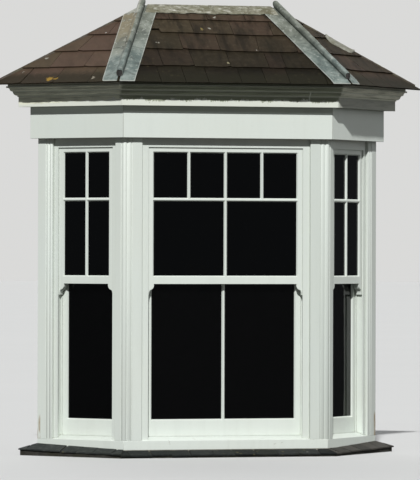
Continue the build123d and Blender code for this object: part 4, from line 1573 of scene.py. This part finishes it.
@dataclass(frozen=True)
class Ledge:
    """Slates on a mortar bed round the foot of the bay."""

    bay: Bay
    faces: int = 4
    bed_columns: int = 40
    bed_rows: int = 3
    width: float = 0.145
    spread: float = 0.02
    joint: float = 0.003
    slate: float = 0.009
    left_lift: float = 0.007
    bed_drop: float = 0.010
    bed_set_back: float = 0.014
    bed_lump: float = 0.002
    bed_rim: float = 0.9
    reach: float = 0.100
    edge: float = 0.025
    wall_rise: float = 0.028
    edge_wall_rise: float = 0.014
    lean: float = 0.008
    sink: tuple = (-0.001, 0.003)
    tilt: float = 0.002
    set_back: float = 0.006
    chip: float = 0.004
    riven: float = 0.0005
    drop: float = 0.003
    least_drop: float = 0.0005
    seed: int = 31
    seed_steps: tuple = (13.0, 4.0)
    chip_waves: float = 6.0
    riven_waves: float = 4.0
    bed_waves: tuple = (30.0, 9.0)
    browns: tuple = (-0.2, 0.5)
    brown_spread: tuple = (0.1, 0.6)
    liveliness: tuple = (0.3, 1.0)

    def build(self) -> None:
        """Build and dress the bed and the slates of each side."""
        for side in Side:
            install(self.bed(side), BED_MORTAR, "ledge_slate", "slate_ledge_" + side.word)
            install(self.slates(side), LEDGE_SLATE, "ledge_slate")

    def level(self, side: Side, at: float, out: float) -> float:
        """Level of the ledge's top.

        Args:
            side: The side.
            at: Distance from the corner along a cant.
            out: Share of the reach, from the sill to the edge.

        Returns:
            The level.
        """
        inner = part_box("slate_ledge_front")[1].z
        if side is Side.FRONT:
            return inner + (self.edge - inner) * out
        share = at / self.bay.cant_length
        outer_share = (at + self.reach * tan(self.bay.cant / 2)) / self.bay.cant_length
        high = inner + self.wall_rise * share
        low = self.edge + self.edge_wall_rise * outer_share
        lift = self.left_lift if side is Side.LEFT else 0.0
        return high + (low - high) * out + lift

    def place(self, side: Side, at: float, out: float, drop: float) -> Vector:
        """Point on the ledge.

        Args:
            side: The side.
            at: Distance along the side, from its corner on a cant or its middle.
            out: Share of the reach.
            drop: Distance under the ledge's top.

        Returns:
            The point.
        """
        if side is Side.FRONT:
            base = Vector((at, self.bay.front_y, 0.0))
        else:
            run = self.bay.along(side) * side.value
            base = self.bay.corner(side) + run * at
        spot = base + self.bay.outward(side) * (self.reach * out)
        spot.z = self.level(side, at, out) - drop
        return spot

    def trim(self, mesh: bmesh.types.BMesh, side: Side, gap: float) -> None:
        """Cut a side at its mitres and at the wall."""
        cut_at(mesh, self.bay.ends(side, gap, self.bay.corner, self.bay.mitre))

    def spans(self, side: Side) -> tuple[float, float]:
        """First and last place along a side.

        Args:
            side: The side.

        Returns:
            Both places.
        """
        if side is Side.FRONT:
            half = self.bay.half_front + self.reach
            return -half, half
        return -self.reach, self.bay.cant_length + 2 * self.reach

    def bed(self, side: Side) -> bpy.types.Object:
        """Mortar under the slates, set back from their edge.

        Args:
            side: The side.

        Returns:
            The piece.
        """
        mesh = sheet_block(self.bed_columns, self.bed_rows)
        first, last = self.spans(side)
        far = 1.0 - self.bed_set_back / self.reach
        for corner in mesh.verts:
            at = first + (last - first) * (corner.co.x + 0.5)
            out = far * (0.5 - corner.co.y)
            foot = -corner.co.z > 0.5
            waves = Vector((at * self.bed_waves[0], out * self.bed_waves[1], side.value))
            lump = self.bed_lump * noise.noise(waves)
            corner.co = self.place(side, at, out, self.bed_drop - lump)
            if out > far * self.bed_rim:
                corner.co += self.bay.outward(side) * lump * 2
            if foot:
                corner.co.z = 0.0
        self.trim(mesh, side, 0.0)
        bmesh.ops.recalc_face_normals(mesh, faces=mesh.faces[:])
        return finish_mesh("ledge_bed_" + side.word, mesh)

    def slates(self, side: Side) -> bpy.types.Object:
        """Lay the slates of one side.

        Args:
            side: The side.

        Returns:
            The piece.
        """
        chance = Random(self.seed + side.value)
        mesh = toned_mesh()
        at, last = self.spans(side)
        base = self.browns[side is Side.LEFT]
        while at < last:
            width = self.width + chance.uniform(-self.spread, self.spread)
            piece = self.slate_at(side, at, at + width, chance)
            self.trim(piece, side, self.joint / 2)
            if piece.faces:
                brown = base + chance.uniform(*self.brown_spread)
                lively = chance.uniform(*self.liveliness)
                # The right side's slates are marked sunny, for the lighter painted lit colours.
                paint_tone(piece, (brown, float(side is Side.RIGHT), lively, 1.0))
                merge_into(mesh, piece)
            at += width
        return finish_mesh("ledge_slates_" + side.word, mesh)

    def slate_at(self, side: Side, left: float, right: float, chance: Random) -> bmesh.types.BMesh:
        """Make one slate of the ledge.

        Args:
            side: The side.
            left: Place of its first joint.
            right: Place of its last joint.
            chance: Source of the small differences.

        Returns:
            The slate's mesh.
        """
        piece = sheet_block(self.faces, self.faces)
        lean = chance.uniform(-self.lean, self.lean)
        sink = chance.uniform(*self.sink)
        tilt = chance.uniform(-self.tilt, self.tilt)
        back = chance.uniform(0.0, self.set_back)
        seed = Vector((left * self.seed_steps[0], side.value * self.seed_steps[1], 1.0))
        for corner in piece.verts:
            a, b, depth = corner.co.x + 0.5, 0.5 - corner.co.y, -corner.co.z
            along = left + (right - left - self.joint) * a + self.joint / 2 + lean * (1.0 - b)
            chipped = abs(noise.noise(seed + Vector((a * self.chip_waves, 0.0, 0.0))))
            ragged = self.chip * chipped + back
            out = b * (1.0 - ragged / self.reach)
            waves = Vector((a * self.riven_waves, b * self.riven_waves, depth))
            uneven = self.riven * noise.noise(seed + waves)
            drop = self.drop + sink * b + tilt * (a - 0.5) + depth * self.slate + uneven
            corner.co = self.place(side, along, out, max(self.least_drop, drop))
        return piece


@dataclass(frozen=True)
class HipLead:
    """Lead dressed over each hip roll, in two lengths with a lap.

    It is shaped on the right hip, and mirrored for the left one.
    """

    roof: Roof
    front_wing: float = 0.125
    cant_wing: float = 0.109
    radius: float = 0.0213
    lift: float = 0.017
    base: float = 0.0363
    sheet: float = 0.0016
    upper_rise: float = 0.0015
    roll_reach: float = 0.204
    eave_reach: float = 0.237
    droop: float = 0.19
    left_shift: float = 0.014
    rounding: float = 0.018
    rounding_cuts: int = 4
    rim: float = 0.020
    start: float = -0.22
    lap_place: float = 0.42
    lap: float = 0.09
    wing_steps: int = 5
    roll_steps: int = 14
    spacing: float = 0.022
    dent: float = 0.0011
    deepest_dent: float = 0.0004
    rim_dent: float = 1.6
    waves: tuple = ((0.7, 17.0), (0.3, 60.0))
    smooth: float = radians(40)

    def build(self) -> None:
        """Build and dress the lead of both hips."""
        left = replace(
            self, cant_wing=self.cant_wing + self.left_shift, front_wing=self.front_wing - self.left_shift
        )
        for side, lead in ((Side.RIGHT, self), (Side.LEFT, left)):
            install(lead.cap(side), LEAD, "lead", "hip_lead_" + side.word)

    def section_frame(self) -> tuple[Vector, Vector, Vector, Vector]:
        """Foot, direction and cross directions of the right hip.

        Returns:
            Foot, direction up the hip, direction across it and out of it.
        """
        foot, top = self.roof.hip_foot(Side.RIGHT), self.roof.hip_top(Side.RIGHT)
        along = (top - foot).normalized()
        across = UP.cross(along).normalized()
        return foot, along, across, along.cross(across)

    def outline(self, mesh: bmesh.types.BMesh, raised: float, only: Optional[Side] = None) -> list:
        """Draw the sheet's underside across the right hip.

        Args:
            mesh: The mesh to draw in.
            raised: Height over the slates' tails.
            only: Side of the one wing to draw, or none for the whole sheet.

        Returns:
            The edges of the outline.
        """
        valley, to_cant, to_front = self.ways_down(raised)
        centre = valley + Vector((0.0, self.lift, 0.0))
        radius = self.radius + raised
        first = valley + to_cant * self.touch(to_cant, radius)
        last = valley + to_front * self.touch(to_front, radius)
        cant_tip, front_tip = valley + to_cant * self.cant_wing, valley + to_front * self.front_wing
        if only is not None:
            corner, tip = (last, front_tip) if only is Side.FRONT else (first, cant_tip)
            self.wing_out(mesh, mesh.verts.new(corner), tip)
            return mesh.edges[:]
        start = mesh.verts.new(first)
        over_the_top = -(2 * pi - (first - centre).angle(last - centre))
        spun = bmesh.ops.spin(
            mesh, geom=[start], cent=centre, axis=UP, dvec=(0.0, 0.0, 0.0),
            angle=over_the_top, steps=self.roll_steps, use_merge=False,
        )
        self.wing_out(mesh, start, cant_tip)
        self.wing_out(mesh, of_kind(spun["geom_last"], bmesh.types.BMVert)[0], front_tip)
        return mesh.edges[:]

    def ways_down(self, raised: float) -> tuple[Vector, Vector, Vector]:
        """Where the wings would meet under the roll, and the ways down them.

        Args:
            raised: Height over the slates' tails.

        Returns:
            The meeting point and the directions down the cant and the front.
        """
        _, _, across, rise = self.section_frame()
        normals = [self.roof.normal(side) for side in RIGHT_SLOPES]
        front, cant = (Vector((normal.dot(across), normal.dot(rise), 0.0)) for normal in normals)
        turn = front.x * cant.y - front.y * cant.x
        height = self.base + raised
        valley = Vector((height * (cant.y - front.y) / turn, height * (front.x - cant.x) / turn, 0.0))
        return valley, Vector((-abs(cant.y), -abs(cant.x), 0.0)), Vector((abs(front.y), -abs(front.x), 0.0))

    def mark_rims(self, mesh: bmesh.types.BMesh) -> None:
        """Mark how near each corner is to a free edge of the sheet.

        Args:
            mesh: The mesh of the hip.
        """
        layer = mesh.verts.layers.float.new("rim")
        foot, _, across, rise = self.section_frame()
        valley, to_cant, to_front = self.ways_down(0.0)
        for corner in mesh.verts:
            off = corner.co - foot
            flat = Vector((off.dot(across), off.dot(rise), 0.0)) - valley
            gaps = [self.cant_wing - flat.dot(to_cant), self.front_wing - flat.dot(to_front)]
            gaps += [self.eave_reach - self.roof.bay.past(side, 0.0, corner.co) for side in RIGHT_SLOPES]
            corner[layer] = max(0.0, 1.0 - max(0.0, min(gaps)) / self.rim)

    def touch(self, down: Vector, radius: float) -> float:
        """Distance down a wing to where the roll's circle leaves it."""
        drop = -down.y * self.lift
        return -drop + sqrt(drop * drop + radius * radius - self.lift * self.lift)

    def wing_out(self, mesh: bmesh.types.BMesh, corner: bmesh.types.BMVert, tip: Vector) -> None:
        """Draw one wing outward from the roll.

        Args:
            mesh: The mesh to draw in.
            corner: Where the wing leaves the roll.
            tip: Its free end.
        """
        step = (tip - corner.co) / self.wing_steps
        for _ in range(self.wing_steps):
            corner = bmesh.ops.extrude_vert_indiv(mesh, verts=[corner])["verts"][0]
            corner.co = corner.co + step

    def length(
        self, mesh: bmesh.types.BMesh, raised: float, low: float, high: float, only: Optional[Side] = None
    ) -> None:
        """Add one length of lead.

        Args:
            mesh: The mesh of the hip.
            raised: Height over the slates' tails.
            low: Start along the hip from the cornice edge.
            high: End along the hip.
            only: Side of the one wing to add, or none for the whole sheet.
        """
        piece = bmesh.new()
        edges = self.outline(piece, raised, only)
        foot, along, across, rise = self.section_frame()
        placing = Matrix.Translation(foot + along * low) @ Matrix((across, rise, along)).transposed().to_4x4()
        bmesh.ops.transform(piece, matrix=placing, verts=piece.verts[:])
        count = max(2, int((high - low) / self.spacing))
        for _ in range(count):
            grown = bmesh.ops.extrude_edge_only(piece, edges=edges)["geom"]
            edges = of_kind(grown, bmesh.types.BMEdge)
            corners = of_kind(grown, bmesh.types.BMVert)
            bmesh.ops.translate(piece, verts=corners, vec=along * ((high - low) / count))
        self.thicken(piece)
        cut_at(piece, self.eave_planes(only))
        merge_into(mesh, piece)

    def thicken(self, piece: bmesh.types.BMesh) -> None:
        """Turn a length upwards, dent it and give it the sheet's thickness.

        Args:
            piece: The length, still without thickness.
        """
        bmesh.ops.recalc_face_normals(piece, faces=piece.faces[:])
        piece.normal_update()
        if sum(face.normal.z * face.calc_area() for face in piece.faces) < 0:
            bmesh.ops.reverse_faces(piece, faces=piece.faces[:])
        piece.normal_update()
        for corner in piece.verts:
            shift = self.dent * sum(share * noise.noise(corner.co * scale) for share, scale in self.waves)
            if corner.is_boundary:
                corner.co += corner.normal * max(0.0, shift * self.rim_dent)
            else:
                corner.co += corner.normal * max(-self.deepest_dent, shift)
        bmesh.ops.reverse_faces(piece, faces=piece.faces[:])
        bmesh.ops.solidify(piece, geom=piece.faces[:], thickness=self.sheet)

    def eave_planes(self, only: Optional[Side]) -> list[Plane]:
        """Planes that cut a length at the eaves and at the wall.

        Args:
            only: Side of a lone wing, which runs on past the end of the roll.

        Returns:
            Points and normals.
        """
        bay = self.roof.bay
        if only is not None:
            roll_end, out = bay.plane(only, self.roll_reach)
            return [bay.plane(only, self.eave_reach), (roll_end, -out)]
        return [bay.wall_plane, *(bay.plane(side, self.roll_reach) for side in RIGHT_SLOPES)]

    def cap(self, side: Side) -> bpy.types.Object:
        """Build the lead of the hip beside a cant.

        Args:
            side: The cant.

        Returns:
            The lead as one piece.
        """
        mesh = bmesh.new()
        full = (self.roof.hip_top(Side.RIGHT) - self.roof.hip_foot(Side.RIGHT)).length
        middle = full * self.lap_place
        self.length(mesh, 0.0, self.start, middle + self.lap)
        self.length(mesh, self.upper_rise, middle, full - self.start)
        for lone in RIGHT_SLOPES:
            self.length(mesh, 0.0, self.start, -self.start, lone)
        self.mark_rims(mesh)
        self.bend_down(mesh)
        if side is Side.LEFT:
            self.round_corner(mesh)
            mirror(mesh)
            bmesh.ops.reverse_faces(mesh, faces=mesh.faces[:])
        return finish_mesh("lead_hip_" + side.word, mesh, self.smooth)

    def bend_down(self, mesh: bmesh.types.BMesh) -> None:
        """Dress the lead down over the eave.

        Args:
            mesh: The mesh of the hip.
        """
        bay = self.roof.bay
        for corner in mesh.verts:
            out = max(bay.past(side, self.roll_reach, corner.co) for side in RIGHT_SLOPES)
            if out > 0.0:
                corner.co.z -= self.droop * out

    def round_corner(self, mesh: bmesh.types.BMesh) -> None:
        """Round the lead's lower corner on the cant.

        Args:
            mesh: The mesh of the hip.
        """
        foot, along, _, _ = self.section_frame()
        normal = self.roof.normal(Side.RIGHT)
        eave = self.roof.bay.outward(Side.RIGHT)
        eave = (eave - normal * eave.dot(normal)).normalized()
        edge = turned_to(along.cross(normal).normalized(), self.roof.bay.along(Side.RIGHT))
        reach, low = (max((corner.co - foot).dot(way) for corner in mesh.verts) for way in (edge, eave))
        share = edge.dot(eave)
        first = ((reach - self.rounding) - share * (low - self.rounding)) / (1 - share * share)
        second = ((low - self.rounding) - share * (reach - self.rounding)) / (1 - share * share)
        centre = foot + edge * first + eave * second
        planes = []
        for step in range(1, self.rounding_cuts + 1):
            toward = edge.lerp(eave, step / (self.rounding_cuts + 1)).normalized()
            planes.append((centre + toward * self.rounding, toward))
        cut_at(mesh, planes)


@dataclass(frozen=True)
class MortarFillet:
    """Rough mortar between a line on a wall and a line on the slates."""

    wall_line: tuple[Vector, Vector]
    toe_line: tuple[Vector, Vector]
    under: Vector
    toe_depth: float = 0.006
    top_depth: float = 0.012
    rows: int = 6
    least_columns: int = 8
    spacing: float = 0.010
    lump: float = 0.003
    ragged: float = 0.14
    crown: float = 0.05
    taper: float = 0.0
    ragged_waves: float = 13.0
    lump_waves: tuple = (34.0, 3.0)
    top_swell: float = 0.4

    def mesh(self, seed: float) -> bmesh.types.BMesh:
        """Build the fillet, its roughness shifted by a seed.

        Args:
            seed: Shift of its roughness.

        Returns:
            The fillet's mesh.
        """
        length = (self.toe_line[1] - self.toe_line[0]).length
        mesh = sheet_block(max(self.least_columns, int(length / self.spacing)), self.rows)
        face = -self.under.normalized()
        for corner in mesh.verts:
            a, b, depth = shares(corner)
            run = a * length
            toe, top = (line[0].lerp(line[1], a) for line in (self.toe_line, self.wall_line))
            uneven = self.ragged * noise.noise(Vector((run * self.ragged_waves, seed, 3.0)))
            uneven += self.taper * abs(2 * a - 1) ** 3
            spot = toe.lerp(top, b + (1.0 - b) * uneven)
            waves = Vector((run * self.lump_waves[0], b * self.lump_waves[1] + seed, 2.0))
            swell = self.lump * noise.noise(waves) * (self.top_swell + (1.0 - self.top_swell) * (1.0 - b))
            bulge = self.crown * (top - toe).length * 4.0 * b * (1.0 - b)
            spot += face * (bulge + swell)
            spot += self.under * (depth * (self.toe_depth + (self.top_depth - self.toe_depth) * b))
            corner.co = spot
        return mesh


@dataclass(frozen=True)
class Mortar:
    """The fillet over the top course and those beside the cants' slates."""

    roof: Roof
    half_top: float = 0.450
    half_toe: float = 0.486
    top_rise: float = 0.012
    top_reach: float = 0.074
    toe_lift: float = 0.005
    side_start: float = 0.10
    side_width: float = 0.011
    lump_run: tuple = (0.40, 0.64)
    lump_width: float = 0.10
    lump_tops: tuple = (0.016, 0.014)
    lump_toe: float = 0.004
    lump_lean: float = 0.3
    top_seed: float = 1.0
    lump_seed: float = 6.0
    side_seeds: tuple = (4.0, 9.0)
    smooth: float = radians(50)

    def build(self) -> None:
        """Build the fillets."""
        self.top()
        self.sides()

    def top(self) -> None:
        """Mortar over the top course, against the wall."""
        pitch = self.roof.front_pitch
        wall = self.roof.bay.wall_y
        level = self.roof.foot_level + self.roof.rise + self.roof.tail_height / cos(pitch)
        toe = level - self.top_reach * tan(pitch) + self.toe_lift
        fillet = MortarFillet(
            tuple(Vector((x, wall, level + self.top_rise)) for x in (-self.half_top, self.half_top)),
            tuple(Vector((x, wall - self.top_reach, toe)) for x in (-self.half_toe, self.half_toe)),
            Vector((0.0, sin(pitch), -cos(pitch))),
        )
        self.finish("mortar_top", [fillet.mesh(self.top_seed)], TOP_MORTAR, "top_fillet")

    def sides(self) -> None:
        """Mortar between the cants' slates and the wall."""
        roof = self.roof
        normal = roof.normal(Side.RIGHT)
        down = turned_to(normal.cross(INWARD).normalized(), -UP)
        out = turned_to(down.cross(normal).normalized(), -INWARD)
        rise = turned_to(down.cross(INWARD).normalized(), UP)
        lift = (roof.deck + roof.slate) / cos(roof.pitch(Side.RIGHT))
        start = Vector((roof.hip_top_x, roof.bay.wall_y, roof.foot_level + roof.rise + lift))
        run = (self.side_start, (start.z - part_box("abutment_fillets")[0].z) / -down.z)
        wall_line, toe_line = (
            tuple(start + down * at + way * self.side_width for at in run) for way in (rise, out)
        )
        fillet = MortarFillet(
            wall_line, toe_line, -(rise + out).normalized(),
            toe_depth=0.004, top_depth=0.006, rows=3, lump=0.0025, ragged=0.25, crown=0.02,
        )
        ends = [start + down * at for at in self.lump_run]
        lump = MortarFillet(
            tuple(end + rise * height for end, height in zip(ends, self.lump_tops)),
            tuple(end + out * self.lump_width + rise * self.lump_toe for end in ends),
            -(rise + out * self.lump_lean).normalized(),
            rows=4, lump=0.005, ragged=0.3, crown=0.10, taper=0.7,
        )
        self.finish("mortar_lump", [lump.mesh(self.lump_seed)], LUMP_MORTAR)
        pair = [fillet.mesh(seed) for seed in self.side_seeds]
        mirror(pair[1])
        self.finish("mortar_sides", pair, SIDE_MORTAR, "abutment_fillets")

    def finish(self, name: str, parts: list, finish: Finish, *nodes: str) -> None:
        """Cut mortar at the wall, join it and dress it.

        Args:
            name: Name of the piece.
            parts: Its meshes, which are freed.
            finish: Its finish.
            nodes: The construction nodes that it stands for.
        """
        whole = bmesh.new()
        for part in parts:
            cut_at(part, [self.roof.bay.wall_plane])
            merge_into(whole, part)
        install(finish_mesh(name, whole, self.smooth), finish, "mortar", *nodes)


@dataclass(frozen=True)
class Joinery:
    """Posts, frames, sashes, sills, frieze and cornice, with rubbed corners."""

    corner: float = 0.0016
    fine_corner: float = 0.0009

    def build(self) -> None:
        """Dress every piece of joinery."""
        self.dress("corner_post_left", POST_PAINT, self.corner)
        self.dress("corner_post_right", SHADED_POST_PAINT, self.corner)
        self.dress("wall_post_left", FOOT_PAINT, self.corner)
        self.dress("wall_post_right", SHADED_FOOT_PAINT, self.corner)
        for side in Side:
            self.dress("window_frame_" + side.word, POST_PAINT, self.fine_corner)
            self.dress("upper_sash_" + side.word, SASH_PAINT, self.fine_corner)
            self.dress("lower_sash_" + side.word, SASH_PAINT, self.fine_corner)
            self.dress("sill_" + side.word, SILL_PAINT, self.corner)
            self.dress("frieze_" + side.word, FRIEZE_PAINT, self.corner)
            self.dress("cornice_" + side.word, CORNICE_PAINT, self.fine_corner, "weathered_paint")
        self.dress("window_board", INNER_PAINT, self.corner)

    def dress(self, node: str, finish: Finish, width: float, slot: str = "white_paint") -> None:
        """Replace a node by its softened copy.

        Args:
            node: The node.
            finish: Its finish.
            width: Width of the rubbed corners.
            slot: The record's material slot.
        """
        install(softened(node, width), finish, slot, node)


@dataclass(frozen=True)
class Carcass:
    """Timber, masonry, glass and brass that keep their construction shapes."""

    finishes: tuple = (
        (LEVEL_TIMBER, ("ring_beam", "wall_ledger")),
        (SLOPE_TIMBER, ("rafters", "hip_rafters")),
        (ROLL_TIMBER, ("hip_rolls",)),
        (SHADE_DARK_EAVE_TIMBER, ("roof_boards_front", "roof_boards_left", "roof_boards_right")),
        (GLASS, ("glass_front", "glass_left", "glass_right")),
        (MASONRY, ("base_plinth",)),
        (INNER_PAINT, ("ceiling_board",)),
        (BRASS, ("sash_fasteners",)),
    )

    def build(self) -> None:
        """Give each node its finish."""
        for finish, nodes in self.finishes:
            for node in nodes:
                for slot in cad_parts[node].material_slots:
                    slot.material = finish.material()
                LOG.info("%s: construction mesh, %s", node, finish.name)


# Stage


@dataclass(frozen=True)
class Studio:
    """Pale floor, soft lights and the camera at the photograph's angle."""

    camera_place: tuple = (-7.2256, -27.4656, 1.4497)
    camera_yaw: float = radians(-14.573)
    camera_pitch: float = radians(0.116)
    camera_roll: float = radians(0.158)
    lens: float = 304.92
    sensor: float = 36.0
    floor_size: float = 150.0
    lamp_distance: float = 10.0
    lamps: tuple = (
        ("Key", radians(-17.5), radians(39.4), radians(1.8), 3.65),
        ("Fill", radians(80), radians(25), radians(60), 0.55),
        ("Back", radians(172), radians(35), radians(60), 0.9),
    )
    sky: Colour = (0.86, 0.93, 1.0)
    sky_strength: float = 0.085
    backdrop: Colour = (0.70, 0.70, 0.69)

    def build(self) -> None:
        """Set up floor, lights, world and camera."""
        self.floor()
        for lamp in self.lamps:
            self.light(*lamp)
        self.world()
        self.camera()

    def floor(self) -> None:
        """Lay the floor under the bay."""
        mesh = bmesh.new()
        bmesh.ops.create_circle(mesh, cap_ends=True, segments=64, radius=self.floor_size)
        piece = finish_mesh("floor", mesh)
        piece.data.materials.append(StageFloor("Pale floor").material())

    def light(self, name: str, azimuth: float, height: float, angle: float, strength: float) -> None:
        """Add a far studio lamp that shines on the bay.

        Args:
            name: Name of the light.
            azimuth: Angle from the front, positive to the right.
            height: Angle over the floor.
            angle: Width of the lamp as the bay sees it, which softens its shadows.
            strength: Strength in watts a square metre.
        """
        data = bpy.data.lights.new(name, "SUN")
        data.energy = strength
        data.angle = angle
        lamp = bpy.data.objects.new(name, data)
        away = Vector((sin(azimuth) * cos(height), -cos(azimuth) * cos(height), sin(height)))
        lamp.location = away * self.lamp_distance
        lamp.rotation_euler = away.to_track_quat("Z", "Y").to_euler()
        bpy.context.scene.collection.objects.link(lamp)

    def world(self) -> None:
        """Surround the stage with plain pale light."""
        world = bpy.data.worlds.new("Studio")
        world.use_nodes = True
        graph = Graph(world.node_tree)
        light = world.node_tree.nodes["Background"]
        light.inputs["Color"].default_value = solid(self.sky)
        light.inputs["Strength"].default_value = self.sky_strength
        pale = graph.fed("Background", (solid(self.backdrop),))
        seen = graph.add("LightPath").outputs["Is Camera Ray"]
        backgrounds = (light.outputs["Background"], pale.outputs["Background"])
        mixed = graph.fed("MixShader", (seen, *backgrounds)).outputs["Shader"]
        graph.feed(world.node_tree.nodes["World Output"].inputs["Surface"], mixed)
        bpy.context.scene.world = world

    def camera(self) -> None:
        """Stand the camera where the photograph was taken from."""
        data = bpy.data.cameras.new("Camera")
        data.lens = self.lens
        data.sensor_width = self.sensor
        data.sensor_fit = "AUTO"
        data.clip_end = 2 * self.floor_size
        camera = bpy.data.objects.new("Camera", data)
        yaw, pitch, roll = self.camera_yaw, self.camera_pitch, self.camera_roll
        ahead = Vector((-sin(yaw) * cos(pitch), cos(yaw) * cos(pitch), sin(pitch)))
        level = ahead.cross(UP).normalized()
        upright = level.cross(ahead)
        right = level * cos(roll) + upright * sin(roll)
        up = upright * cos(roll) - level * sin(roll)
        turned = Matrix((right, up, -ahead)).transposed().to_4x4()
        camera.matrix_world = Matrix.Translation(self.camera_place) @ turned
        bpy.context.scene.collection.objects.link(camera)
        bpy.context.scene.camera = camera


def main() -> None:
    """Build and dress every sub-assembly, then set the stage."""
    logging.basicConfig(level=logging.INFO, format="%(name)s: %(message)s")
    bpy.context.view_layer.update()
    bay = Bay.read()
    roof = Roof(bay)
    bpy.context.scene.view_settings.view_transform = "Standard"
    for assembly in (Studio(), Carcass(), Joinery(), Ledge(bay), Slates(roof), HipLead(roof), Mortar(roof)):
        assembly.build()


if __name__ == "__main__":
    main()
